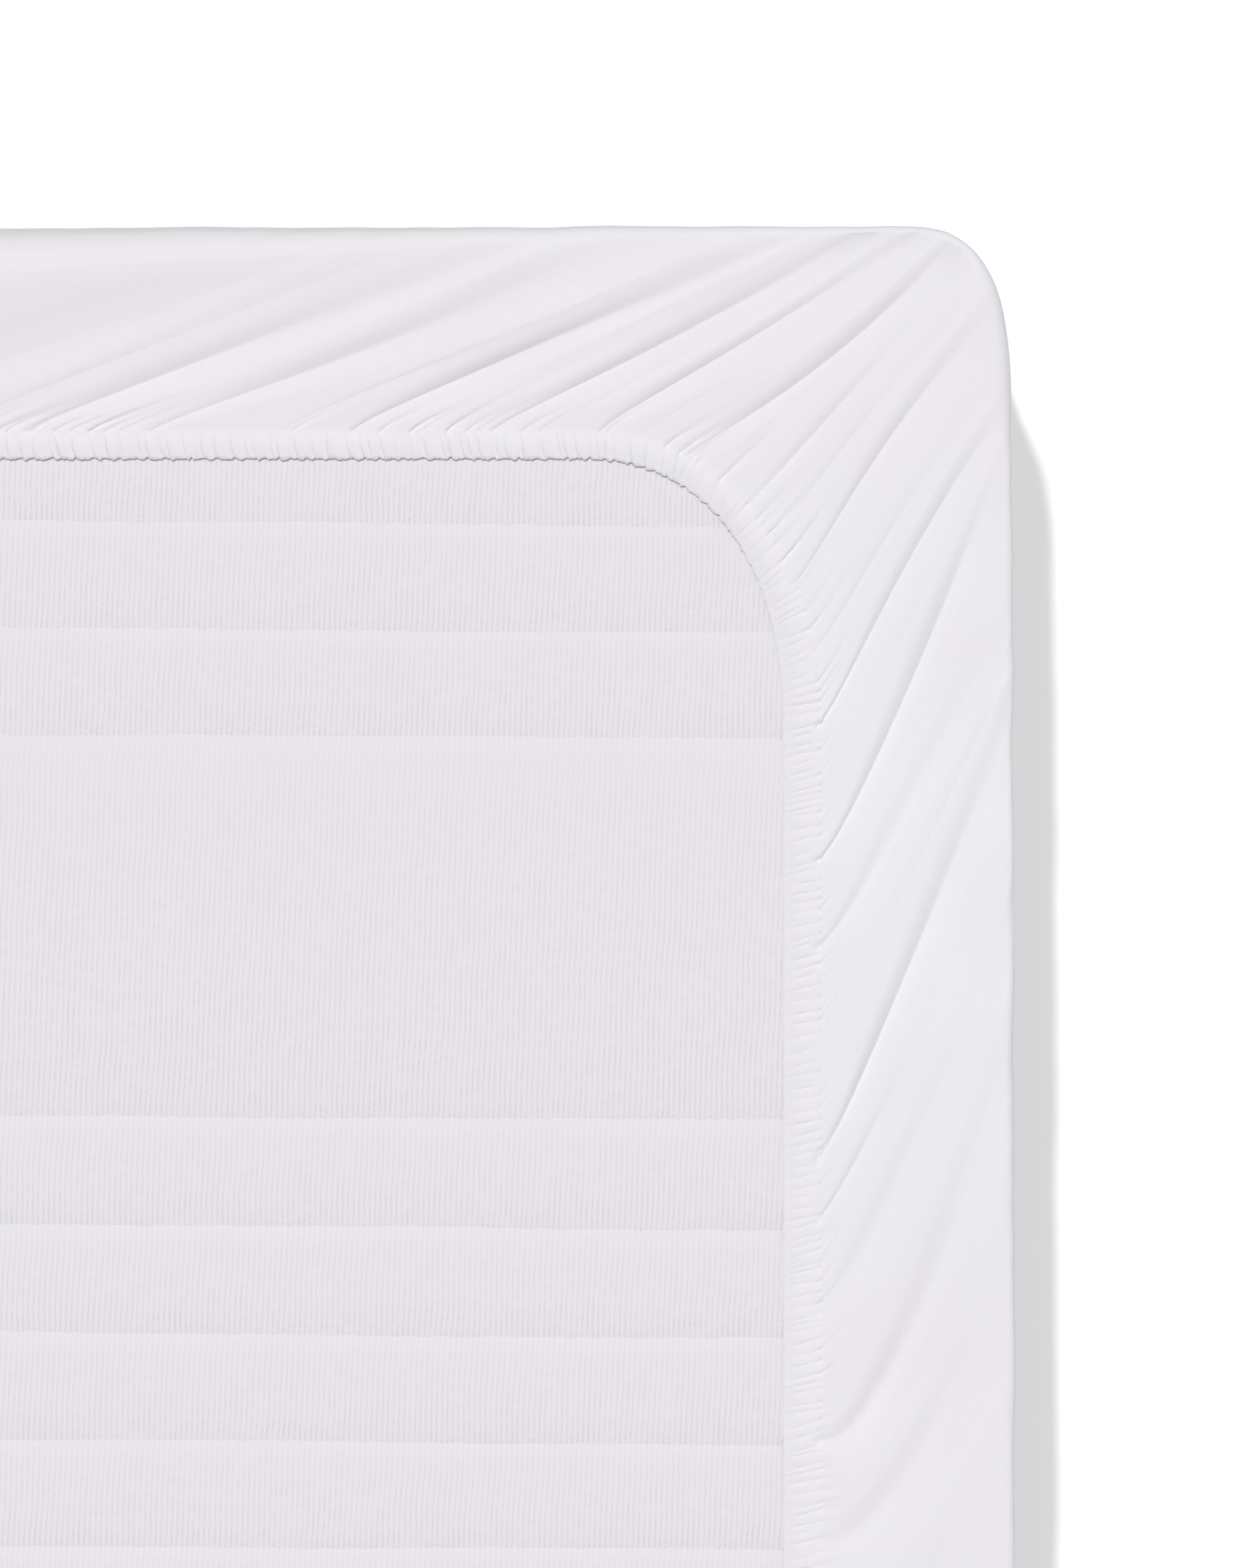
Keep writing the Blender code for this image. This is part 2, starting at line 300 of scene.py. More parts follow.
class Recipe(NodePlan):
    """One material while its nodes are put together."""

    SHEEN_ROUGHNESS = 0.6

    def __init__(self, name: str) -> None:
        """Start a material with a plain Principled shader.

        Args:
            name: The material's name.
        """
        self.material = bpy.data.materials.new(name)
        self.material.use_nodes = True
        super().__init__(self.material.node_tree)
        self.shader = self.tree.nodes["Principled BSDF"]

    def map_places(self, surface_map: SurfaceMap) -> tuple[Value, Value]:
        """The two distances of a flat map.

        Args:
            surface_map: Which of the piece's maps is read.

        Returns:
            The distance across and the distance along.
        """
        map_node = self.node("ShaderNodeUVMap", {"uv_map": surface_map.value})
        across, along, _ = self.parts(map_node.outputs[0])
        return across, along

    def noise(self, across: Term, along: Term, level: Term = 0.0, detail: float = 2.0) -> Value:
        """Soft noise from 0 to 1, one lump to each unit of its places.

        Args:
            across: First place, in lumps.
            along: Second place, in lumps.
            level: Third place, in lumps.
            detail: How many finer layers it has.

        Returns:
            The noise.
        """
        place = self.node("ShaderNodeCombineXYZ", inputs={0: across, 1: along, 2: level})
        inputs: dict[str | int, Term] = {"Vector": place.outputs[0], "Scale": 1.0, "Detail": detail}
        made = self.node("ShaderNodeTexNoise", inputs=inputs)
        return Value(self, made.outputs[0])

    def chance(self, across: Term, along: Term) -> Value:
        """A random number from 0 to 1 for each pair of numbers.

        Args:
            across: The first number, which is the same over a whole rib.
            along: The second number, which is the same over a whole stitch.

        Returns:
            The random number.
        """
        place = self.node("ShaderNodeCombineXYZ", inputs={0: across, 1: along})
        settings = {"noise_dimensions": "2D"}
        made = self.node("ShaderNodeTexWhiteNoise", settings, {"Vector": place.outputs[0]})
        return Value(self, made.outputs[0])

    def blend(self, share: Value, first: Term, second: Term) -> bpy.types.NodeSocket:
        """Mix two colours.

        Args:
            share: How much of the second colour there is, from 0 to 1.
            first: The first colour, as a socket or four numbers.
            second: The second colour.

        Returns:
            The colour's socket.
        """
        made = self.node("ShaderNodeMix", {"data_type": "RGBA"}, {0: share, 6: first, 7: second})
        return made.outputs[2]

    def bump(
        self,
        height: Value,
        depth: float,
        strength: float,
        under: bpy.types.NodeSocket | None = None,
    ) -> bpy.types.NodeSocket:
        """Raise a surface by a height.

        Args:
            height: The height, as a part of the depth.
            depth: The real depth of a height of 1.
            strength: How much of it counts.
            under: A coarser bump that this one lies on.

        Returns:
            The normal's socket.
        """
        inputs: dict[str | int, Term] = {"Height": height, "Distance": depth, "Strength": strength}
        if under is not None:
            inputs["Normal"] = under
        return self.node("ShaderNodeBump", inputs=inputs).outputs[0]

    def close(
        self,
        colour: Term,
        roughness: Term,
        normal: bpy.types.NodeSocket,
        sheen: float,
        shine: float,
    ) -> bpy.types.Material:
        """Feed the shader.

        Args:
            colour: The base colour.
            roughness: The roughness.
            normal: The bumped normal.
            sheen: The fuzz of the cloth.
            shine: The specular level.

        Returns:
            The finished material.
        """
        self.feed(self.shader, "Base Color", colour)
        self.feed(self.shader, "Roughness", roughness)
        self.feed(self.shader, "Normal", normal)
        self.shader.inputs["Sheen Weight"].default_value = sheen
        self.shader.inputs["Sheen Roughness"].default_value = self.SHEEN_ROUGHNESS
        self.shader.inputs["Specular IOR Level"].default_value = shine
        return self.material


def opaque(colour: Colour) -> tuple[float, float, float, float]:
    """A colour with full alpha."""
    return (*colour, 1.0)


# Finishes


@dataclass(frozen=True)
class CottonFinish:
    """Plain white cotton: a fine weave with slubs, a little cooler in some places than in others, with a
    painted highlight: a lighter, cooler patch over part of each side flap that stands in for light falling
    there.
    """

    name: str
    warm: Colour
    cool: Colour
    thread: float = 0.55 * MM
    weave_depth: float = 0.05 * MM
    slub_length: float = 9.0 * MM
    slub_width: float = 0.9 * MM
    weave_strength: float = 0.5
    slub_depth: float = 0.06 * MM
    slub_strength: float = 0.8
    slub_tint: float = 0.3
    # The painted highlight's colour, lighter and cooler than the cloth.
    painted_highlight: Colour = (0.804, 0.808, 0.848)
    painted_highlight_place: float = 0.72
    painted_highlight_reach: tuple[float, float] = (0.02, 0.22)
    painted_highlight_least: float = 0.2
    painted_highlight_patches: float = 0.8
    side_starts: float = 0.28
    side_full: float = 0.40
    painted_highlight_full: float = 0.42
    side_tint: float = 0.20
    patch: float = 60.0 * MM
    tint_range: tuple[float, float] = (0.34, 0.66)
    roughness: float = 0.82
    patch_shine: float = 0.08
    sheen: float = 0.12
    shine: float = 0.25

    def material(self) -> bpy.types.Material:
        """Make the material.

        Returns:
            The cotton.
        """
        recipe = Recipe(self.name)
        across, along = recipe.map_places(SurfaceMap.CLOTH)
        turn = 2 * math.pi / self.thread
        weave = (across * turn).sine() * (along * turn).sine() * 0.5 + 0.5
        warp = recipe.noise(across / self.slub_width, along / self.slub_length)
        weft = recipe.noise(across / self.slub_length, along / self.slub_width, level=7.0)
        slubs = (warp + weft) * 0.5
        patches = recipe.noise(across / self.patch, along / self.patch, level=3.0, detail=3.0)
        at_side = abs(across).eased(self.side_starts, self.side_full) - 0.5
        tint = patches + slubs * self.slub_tint - self.slub_tint / 2 + at_side * self.side_tint
        tint = tint.eased(*self.tint_range)
        colour = recipe.blend(tint, opaque(self.warm), opaque(self.cool))
        # Painted highlight: a lighter, cooler colour blended in patches over part of each side flap, standing
        # in for light falling there.
        away = abs(abs(along) - self.painted_highlight_place).eased(*self.painted_highlight_reach)
        painted_highlight = abs(across).eased(self.side_starts, self.painted_highlight_full) * (1.0 - away)
        share = painted_highlight * (patches * self.painted_highlight_patches + self.painted_highlight_least)
        colour = recipe.blend(share, colour, opaque(self.painted_highlight))
        normal = recipe.bump(slubs, self.slub_depth, self.slub_strength)
        normal = recipe.bump(weave, self.weave_depth, self.weave_strength, normal)
        rough = patches * self.patch_shine + (self.roughness - self.patch_shine / 2)
        return recipe.close(colour, rough, normal, self.sheen, self.shine)


@dataclass(frozen=True)
class TickingFinish:
    """White knitted ticking: fine ribs along the mattress, whose grooves are painted darker, partly the
    knit's dark stitches and partly painted shade in the grooves.

    The marks are painted darker above each channel, as painted shade where the cloth dips into it, and
    fainter just below it, as painted light where the cloth rises towards the light.
    """

    name: str = "ribbed_ticking"
    face: Colour = (0.772, 0.750, 0.778)
    # The darker colour painted into the grooves: partly the knit's dark stitches, partly painted shade.
    stitch_and_groove_shade: Colour = (0.600, 0.580, 0.598)
    thread: Colour = (0.800, 0.784, 0.808)
    rib: float = 2.37 * MM
    rib_drift: float = 0.9
    rib_lean: float = 18.0
    wander_across: float = 45.0 * MM
    wander_along: float = 30.0 * MM
    groove_from: float = 0.34
    dash: float = 3.8 * MM
    dash_spread: float = 9.0
    dash_chance: tuple[float, float] = (0.15, 0.85)
    dash_ends: tuple[float, float] = (0.72, 1.0)
    dash_gap: float = 0.8
    stitch: float = 2.7 * MM
    stitch_shift: float = 0.37
    stitch_wander: float = 2.0
    stitch_draw: float = 1.7
    stitch_ends: tuple[float, float] = (0.35, 0.95)
    least_stitch: float = 0.3
    least_mark: float = 0.17
    dash_mark: float = 0.17
    # Painted shade: dash marks darken by this much down each panel, towards the channel below.
    more_dash_mark: float = 0.16
    stitch_mark: float = 0.22
    # Painted shade: stitch marks darken by this much above each channel, where the cloth dips away from the
    # light.
    stitch_shade_above_channel: float = 0.34
    # Painted light: marks fade to this share just below each channel, where the cloth rises towards the
    # light.
    marks_kept_in_painted_light: float = 0.4
    contrast: float = 0.76
    # Painted shade laid over the cloth just above each channel.
    painted_shade_above_channel: float = 0.02
    painted_light_zone: tuple[float, float] = (0.0, 0.20)
    dash_zone: tuple[float, float] = (0.05, 0.60)
    painted_shade_zone: tuple[float, float] = (0.55, 0.97)
    rib_depth: float = 0.22 * MM
    rib_strength: float = 0.6
    groove_height: float = 0.25
    thread_height: float = 0.5
    fuzz_height: float = 0.2
    thread_width: float = 0.7 * MM
    thread_core: float = 0.3
    thread_tint: float = 0.7
    tack: float = 5.2 * MM
    tack_length: float = 60.0 * MM
    tack_range: tuple[float, float] = (0.38, 0.62)
    fuzz_width: float = 0.8 * MM
    fuzz_length: float = 1.4 * MM
    roughness: float = 0.9
    fuzz_shine: float = 0.08
    sheen: float = 0.10
    shine: float = 0.2

    def marks(self, recipe: Recipe, across: Value, along: Value, panel: Value) -> tuple[Value, Value]:
        """The broken grooves between the ribs.

        Args:
            recipe: The material that is being made.
            across: Distance across the mattress.
            along: Distance along it.
            panel: How far the place is from one channel to the next.

        Returns:
            The grooves, and how dark they are painted: the knit's dark stitches together with painted shade,
            which is heavier above each channel and fainter just below it.
        """
        places = across / self.wander_across, along / self.wander_along
        wander = recipe.noise(*places, level=5.0, detail=1.0) - 0.5
        ribs = across / self.rib + wander * self.rib_drift - along * self.rib_lean
        index = ribs.whole()
        groove = ribs.off_middle().eased(self.groove_from, 1.0)
        runs = along / self.dash + recipe.chance(index, 0.5) * self.dash_spread + wander
        dashes = recipe.chance(index, runs.whole() + 0.5).eased(*self.dash_chance)
        dashes = dashes * (1.0 - runs.off_middle().eased(*self.dash_ends) * self.dash_gap)
        rows = along / self.stitch + index * self.stitch_shift + wander * self.stitch_wander
        dots = rows.off_middle().eased(*self.stitch_ends)
        lively = recipe.chance(index, rows.whole() * self.stitch_draw)
        dots = dots * (lively * (1.0 - self.least_stitch) + self.least_stitch)
        # Painted shade and light: marks darken down each panel and most above each channel, and fade just
        # below it.
        in_dashes = panel.eased(*self.dash_zone) * self.more_dash_mark + self.dash_mark
        mark = dashes * in_dashes + self.least_mark
        mark = mark + dots * (panel.eased(*self.painted_shade_zone) * self.stitch_shade_above_channel + self.stitch_mark)
        return groove, mark * (panel.eased(*self.painted_light_zone) * (1.0 - self.marks_kept_in_painted_light) + self.marks_kept_in_painted_light)

    def material(self) -> bpy.types.Material:
        """Make the material.

        Returns:
            The ticking.
        """
        recipe = Recipe(self.name)
        across, along = recipe.map_places(SurfaceMap.CLOTH)
        from_channel, panel = recipe.map_places(SurfaceMap.PANEL)
        groove, mark = self.marks(recipe, across, along, panel)
        # Painted shade: grooves and stitch marks blend towards the darker colour, and the cloth just above
        # each channel a little more.
        shade = groove * mark * self.contrast + panel.eased(*self.painted_shade_zone) * self.painted_shade_above_channel
        colour = recipe.blend(shade, opaque(self.face), opaque(self.stitch_and_groove_shade))
        tacks = recipe.noise(across / self.tack, along / self.tack_length, level=9.0, detail=1.0)
        tacks = tacks.eased(*self.tack_range)
        core = self.thread_width * self.thread_core
        line = (1.0 - from_channel.eased(core, self.thread_width)) * tacks
        colour = recipe.blend(line * self.thread_tint, colour, opaque(self.thread))
        fuzz = recipe.noise(across / self.fuzz_width, along / self.fuzz_length, level=1.0)
        height = line * self.thread_height - groove * (mark + self.groove_height) + fuzz * self.fuzz_height
        normal = recipe.bump(height, self.rib_depth, self.rib_strength)
        rough = self.roughness - fuzz * self.fuzz_shine
        return recipe.close(colour, rough, normal, self.sheen, self.shine)


@dataclass(frozen=True)
class FloorFinish:
    """A plain white studio floor."""

    name: str = "studio_floor"
    colour: Colour = (0.930, 0.930, 0.930)
    glow: float = 0.172
    patch: float = 0.6
    grain_depth: float = 0.01 * MM
    grain_strength: float = 0.1
    roughness: float = 0.95
    patch_shine: float = 0.04

    def material(self) -> bpy.types.Material:
        """Make the material.

        Returns:
            The floor's surface.
        """
        recipe = Recipe(self.name)
        across, along, _ = recipe.parts(recipe.node("ShaderNodeTexCoord").outputs["Object"])
        grain = recipe.noise(across / self.patch, along / self.patch)
        rough = self.roughness - grain * self.patch_shine
        normal = recipe.bump(grain, self.grain_depth, self.grain_strength)
        recipe.shader.inputs["Emission Color"].default_value = opaque(WHITE)
        recipe.shader.inputs["Emission Strength"].default_value = self.glow
        return recipe.close(opaque(self.colour), rough, normal, sheen=0.0, shine=0.0)


COTTON = CottonFinish("white_cotton", warm=(0.792, 0.766, 0.800), cool=(0.792, 0.775, 0.820))
GATHERED = CottonFinish(
    "gathered_cotton",
    warm=(0.802, 0.774, 0.813),
    cool=(0.798, 0.781, 0.826),
    patch=18.0 * MM,
    slub_depth=0.08 * MM,
)
TICKING = TickingFinish()
FLOOR = FloorFinish()


# Outlines and folds


@dataclass(frozen=True)
class Corner:
    """A rounded corner: its reach across and along, and its fullness, where 2 is an ellipse."""

    across: float
    along: float
    fullness: float


class QuarterPath:
    """A rounded outline's first quarter, from the middle of its short side to that of its long one."""

    STEPS = 1200

    def __init__(self, half_width: float, half_length: float, corner: Corner, lead: float = 0.2) -> None:
        """Trace the outline.

        Args:
            half_width: Half its width.
            half_length: Half its length.
            corner: Its rounded corner.
            lead: How far it also runs the other way from the middle of the short side.
        """
        angles = np.linspace(math.pi / 2, 0.0, self.STEPS)
        power = 2.0 / corner.fullness
        turned = np.column_stack([
            half_width - corner.across * (1.0 - np.clip(np.cos(angles), 0.0, 1.0) ** power),
            half_length - corner.along * (1.0 - np.clip(np.sin(angles), 0.0, 1.0) ** power),
        ])
        points = np.vstack([[-lead, half_length], turned, [half_width, 0.0]])
        steps = np.diff(points, axis=0)
        lengths = np.hypot(steps[:, 0], steps[:, 1])
        kept = lengths > 1e-9
        self.points = np.vstack([points[:-1][kept], points[-1:]])
        self.arcs = np.concatenate([[0.0], np.cumsum(lengths[kept])]) - lead
        self.length = float(self.arcs[-1])
        self.normal_arcs = (self.arcs[:-1] + self.arcs[1:]) / 2
        self.normals = np.column_stack([-steps[kept][:, 1], steps[kept][:, 0]]) / lengths[kept][:, None]

    def point(self, arcs: np.ndarray) -> np.ndarray:
        """Places at these distances along the path."""
        return np.column_stack([np.interp(arcs, self.arcs, self.points[:, axis]) for axis in (0, 1)])

    def normal(self, arcs: np.ndarray) -> np.ndarray:
        """Outward unit normals at these distances along the path."""
        found = [np.interp(arcs, self.normal_arcs, self.normals[:, axis]) for axis in (0, 1)]
        return np.column_stack(found) / np.linalg.norm(found, axis=0)[:, None]


@dataclass(frozen=True)
class Fold:
    """One line of the flap: a crease that the cloth falls into and climbs out of, or else a taut ridge.

    It runs from the seam to the outline.  Its fall and climb are measured square across it.
    """

    seam: float
    edge: float
    steep: float
    fall: float
    climb: float
    sharp: float
    bow: float = 0.0
    dies: float | None = None


# Each line of the photographed corner, in order along the seam.  Its row holds:
#    seam, edge: where its line meets the seam and the outline, from the middle of the short side
#    steep: slope of the cloth at a crease, or of the cloth beyond a ridge, which is below zero
#    fall, climb: widths before and after the line in millimetres
#    sharp: how much of the way to the outline a crease stays sharp, or below zero where it starts soft
#    bow: how far the line bends
FOLD_TABLE = (
    (-0.098, 0.150, 0.22, 9.0, 14.0, 0.00, 0.00),
    (-0.072, 0.185, 0.32, 8.0, 13.0, 0.05, 0.00),
    (-0.012, 0.212, 0.26, 4.5, 8.0, 0.60, 0.00),
    (0.022, 0.245, 0.74, 9.0, 13.0, 0.22, 0.02),
    (0.048, 0.271, -0.14, 9.0, 11.0, 0.60, 0.04),
    (0.076, 0.296, 0.62, 7.5, 9.0, 0.16, 0.05),
    (0.128, 0.342, -0.13, 9.0, 17.0, 0.50, 0.02),
    (0.134, 0.345, 0.40, 4.5, 6.0, 0.12, 0.00),
    (0.164, 0.365, 0.96, 6.6, 20.0, 0.28, 0.00),
    (0.187, 0.372, -0.13, 8.0, 15.0, 0.50, 0.02),
    (0.205, 0.378, 0.32, 3.0, 4.0, 0.06, 0.00),
    (0.225, 0.391, 0.92, 6.2, 15.0, 0.42, 0.04),
    (0.250, 0.403, 0.38, 3.2, 5.0, 0.20, 0.04),
    (0.259, 0.407, -0.14, 6.0, 8.0, 0.40, 0.04),
    (0.272, 0.413, 0.90, 6.2, 11.0, 0.42, 0.03),
    (0.289, 0.420, 0.34, 2.5, 4.0, 0.16, 0.06),
    (0.299, 0.4235, -0.14, 5.0, 8.0, 0.40, 0.10),
    (0.312, 0.428, 0.90, 5.6, 14.0, 0.48, 0.14),
    (0.326, 0.433, 0.40, 2.5, 4.0, 0.16, 0.08),
    (0.347, 0.440, 0.60, 5.0, 8.0, 0.30, 0.04),
    (0.364, 0.448, 0.50, 3.6, 6.0, 0.26, 0.03),
    (0.373, 0.455, -0.14, 5.0, 8.0, 0.40, 0.05),
    (0.386, 0.464, 0.88, 5.0, 14.0, 0.42, 0.08),
    (0.417, 0.491, 0.58, 4.2, 9.0, 0.26, 0.05),
    (0.434, 0.499, -0.16, 8.0, 10.0, 0.40, 0.06),
    (0.450, 0.507, 0.96, 5.2, 12.0, 0.54, 0.07),
    (0.467, 0.515, 0.32, 2.5, 4.0, 0.14, 0.03),
    (0.478, 0.518, -0.14, 9.0, 15.0, 0.40, 0.00),
    (0.508, 0.522, 0.98, 7.0, 12.0, 0.46, -0.035),
    (0.528, 0.562, -0.08, 8.0, 8.0, 0.60, -0.02),
    (0.546, 0.604, 0.90, 9.0, 10.0, -0.06, -0.02),
    (0.562, 0.610, -0.14, 7.0, 10.0, 0.60, 0.02),
    (0.579, 0.618, 0.34, 3.0, 5.0, 0.06, 0.02),
    (0.590, 0.623, -0.17, 9.0, 22.0, 0.60, 0.00),
    (0.638, 0.643, 1.06, 8.5, 12.0, 0.30, -0.01),
    (0.665, 0.702, 0.74, 7.5, 10.0, 0.06, 0.00),
    (0.685, 0.712, 0.30, 3.0, 5.0, 0.00, 0.02),
    (0.704, 0.729, 0.88, 9.0, 12.0, -0.22, -0.05),
    (0.732, 0.760, -0.11, 9.0, 11.0, 0.60, -0.10),
    (0.762, 0.790, 0.98, 12.0, 15.0, -0.20, -0.17),
    (0.785, 0.830, -0.06, 9.0, 11.0, 0.60, -0.18),
    (0.806, 0.874, 0.74, 11.0, 14.0, -0.30, -0.19),
    (0.848, 0.930, -0.09, 9.0, 10.0, 0.60, -0.12),
    (0.875, 0.960, 0.50, 10.0, 14.0, -0.20, -0.12),
    (0.941, 1.060, 0.36, 9.0, 14.0, -0.20, 0.00),
    (1.021, 1.160, 0.36, 8.0, 12.0, 0.00, 0.00),
    (1.106, 1.266, 0.28, 7.0, 12.0, 0.20, 0.00),
)
FOLDS = tuple(
    Fold(seam, edge, steep, fall * MM, climb * MM, sharp, bow)
    for seam, edge, steep, fall, climb, sharp, bow in FOLD_TABLE
)


@dataclass(frozen=True)
class Quarter:
    """One corner of the sheet with its half sides, and how its folds differ from the others'."""

    side: int
    end: int
    start: float
    drift: float
    vigour: float
    fine: bool
    seed: int


# How far round the seam and the outline of its corner the photograph shows, where columns lie closer.
PHOTOGRAPHED = 0.83
# How high the middle of the cloth's top lies above the ticking.
SHEET_ABOVE_TICKING = 2.3 * MM
# The two fans of folds at the head meet this far left of its middle.
HEAD_MEETING = 0.13
QUARTERS = (
    Quarter(side=1, end=1, start=-HEAD_MEETING, drift=0.000, vigour=1.00, fine=True, seed=11),
    Quarter(side=1, end=-1, start=0.0, drift=0.006, vigour=0.94, fine=False, seed=23),
    Quarter(side=-1, end=-1, start=0.0, drift=-0.005, vigour=0.98, fine=False, seed=37),
    Quarter(side=-1, end=1, start=HEAD_MEETING, drift=0.004, vigour=0.90, fine=False, seed=53),
)


@dataclass
class Drape:
    """The lines of the flap: columns that run from the seam of the elastic to the outline of the sheet.

    A pair named for where it turns holds a place along the seam and the distance over which it turns.
    """

    half_width: float
    half_length: float
    sheet_corner: Corner = Corner(0.0476, 0.0794, 2.7)
    seam_corner: Corner = Corner(0.1042, 0.1308, 2.2)
    return_at_ends: float = 0.0899
    return_at_sides: float = 0.0835
    drift_wave: float = 0.190
    fade_at_middles: float = 0.020
    hook_turns: tuple[float, float] = (0.35, 0.15)
    hook_at_ends: float = 0.66
    hook_at_sides: float = 0.42
    hook_length_at_ends: float = 0.05
    hook_length_at_sides: float = 0.10
    wobble: float = 0.7 * MM
    wobble_length: float = 0.10
    wobble_slant: float = 0.09
    grid_lead: float = 0.06
    grid_steps: int = 1600
    narrowest: float = 0.85
    widening: float = 0.9
    crease_blur: float = 0.1 * MM
    softest: float = 3.1 * MM
    softens_over: float = 0.45
    flattening: float = 0.74
    flattens_from: float = 0.34
    flattens_over: float = 0.60
    fall_power: float = 2.1
    climb_power: float = 1.15
    ridge_power: float = 1.6
    ridge_blur: float = 0.5 * MM
    ridge_widest: float = 1.15
    ridge_narrows: float = 0.5
    ridge_from: float = 0.08
    ridge_ease: float = 0.45
    hem_share: float = 0.36
    hem_ease: float = 0.25
    gather_turns: tuple[float, float] = (0.40, 0.10)
    first_gather: float = 3.0 * MM
    last_gather: float = 5.0 * MM
    pitch_at_ends: tuple[float, float] = (2.8 * MM, 8.2 * MM)
    pitch_at_sides: tuple[float, float] = (2.6 * MM, 6.2 * MM)
    pucker_width: tuple[float, float] = (2.6 * MM, 5.0 * MM)
    pucker_steep: tuple[float, float] = (0.45, 0.85)
    pucker_reach: tuple[float, float] = (0.10, 0.22)
    pucker_climb: float = 1.6
    pucker_blur: float = 0.15 * MM
    pucker_softens: float = 3.0 * MM
    pucker_chance: float = 0.42
    more_at_corner: float = 0.14
    more_at_sides: float = 0.40
    slimmer_at_sides: float = 0.30
    gentler_at_sides: float = 0.35
    shorter_at_sides: float = 0.20
    longer_at_corner: float = 0.90
    corner_middle: float = 0.36
    corner_reach: float = 0.09

    def __post_init__(self) -> None:
        """Trace the outline of the sheet and the seam of its elastic."""
        self.outline = QuarterPath(self.half_width, self.half_length, self.sheet_corner)
        self.seam = QuarterPath(
            self.half_width - self.return_at_sides,
            self.half_length - self.return_at_ends,
            self.seam_corner,
        )

    def folds(self, quarter: Quarter) -> list[Fold]:
        """The main folds of one corner, pushed along the seam by its own drift.

        Args:
            quarter: The corner.

        Returns:
            Its folds, in order along the seam.
        """
        found = []
        for fold in FOLDS:
            seam = fold.seam + quarter.drift * math.sin(fold.seam / self.drift_wave)
            if seam > quarter.start + self.fade_at_middles:
                found.append(replace(fold, seam=seam, steep=fold.steep * quarter.vigour))
        return found

    def gathers(self, quarter: Quarter) -> list[float]:
        """Where the elastic gathers the cloth.

        Args:
            quarter: The corner.

        Returns:
            Distances along the seam, in order.
        """
        dice = random.Random(quarter.seed * 7)
        found = []
        place = quarter.start + self.first_gather
        while place < self.seam.length - self.last_gather:
            found.append(place)
            pitch = self.pitch_at_ends if place < self.gather_turns[0] else self.pitch_at_sides
            place += dice.uniform(*pitch)
        return found

    def puckers(self, quarter: Quarter) -> list[Fold]:
        """Short creases beside the seam, which run on from the gathers of the elastic.

        Args:
            quarter: The corner.

        Returns:
            The small folds, in order along the seam.
        """
        dice = random.Random(quarter.seed)
        found = []
        for place in self.gathers(quarter):
            side = eased(place, *self.gather_turns)
            at_corner = bell(place, self.corner_middle, self.corner_reach)
            width = dice.uniform(*self.pucker_width) * (1.0 - self.slimmer_at_sides * side)
            steep = dice.uniform(*self.pucker_steep) * (1.0 - self.gentler_at_sides * side)
            dies = dice.uniform(*self.pucker_reach)
            dies *= 1.0 + self.longer_at_corner * at_corner - self.shorter_at_sides * side
            chance = self.pucker_chance + self.more_at_corner * at_corner + self.more_at_sides * side
            if dice.random() < chance:
                found.append(Fold(place, 0.0, steep, width, width * self.pucker_climb, 0.0, dies=dies))
        return found

    def carried(
        self, quarter: Quarter, seams: np.ndarray, measure: str, first: float, last: float
    ) -> np.ndarray:
        """A measure of the folds, carried evenly from each fold to the next.

        Args:
            quarter: The corner.
            seams: Distances along the seam.
            measure: The measure's name in Fold.
            first: Its value where the corner starts, at the middle of the end.
            last: Its value at the middle of the side.

        Returns:
            The measure at each distance.
        """
        folds = self.folds(quarter)
        knots = [quarter.start, *(fold.seam for fold in folds), self.seam.length]
        return np.interp(seams, knots, [first, *(getattr(fold, measure) for fold in folds), last])

    def edge_arcs(self, quarter: Quarter, seams: np.ndarray) -> np.ndarray:
        """Where the lines from these places of the seam meet the outline, along the outline."""
        return self.carried(quarter, seams, "edge", quarter.start, self.outline.length)

    def place(self, quarter: Quarter, seams: np.ndarray, way: Numbers) -> np.ndarray:
        """Places on the lines, in plan, in the first quarter.

        Args:
            quarter: The corner.
            seams: Where each line starts, along the seam.
            way: How far along each line the place is, from 0 at the seam to 1 at the outline.

        Returns:
            The places.
        """
        start = self.seam.point(seams)
        along = self.outline.point(self.edge_arcs(quarter, seams)) - start
        bow = self.carried(quarter, seams, "bow", 0.0, 0.0)
        normal = self.seam.normal(seams)
        outward = (along * normal).sum(axis=1)[:, None] * normal
        way = np.broadcast_to(way, len(seams))
        side = eased(seams, *self.hook_turns)
        hook = between(self.hook_at_ends, self.hook_at_sides, side)
        reach = between(self.hook_length_at_ends, self.hook_length_at_sides, side)
        turned = (way - hook * reach * (1.0 - np.exp(-way / reach))) / (1.0 - hook * reach)
        bent = turned + bow * 4.0 * way * (1.0 - way)
        wander = waves(seams + self.wobble_slant * way, self.wobble_length, 4, 90 + quarter.seed)
        wander = self.wobble * wander * np.sin(math.pi * way) / np.linalg.norm(along, axis=1)
        return start + outward * way[:, None] + (along - outward) * bent[:, None] + along * wander[:, None]

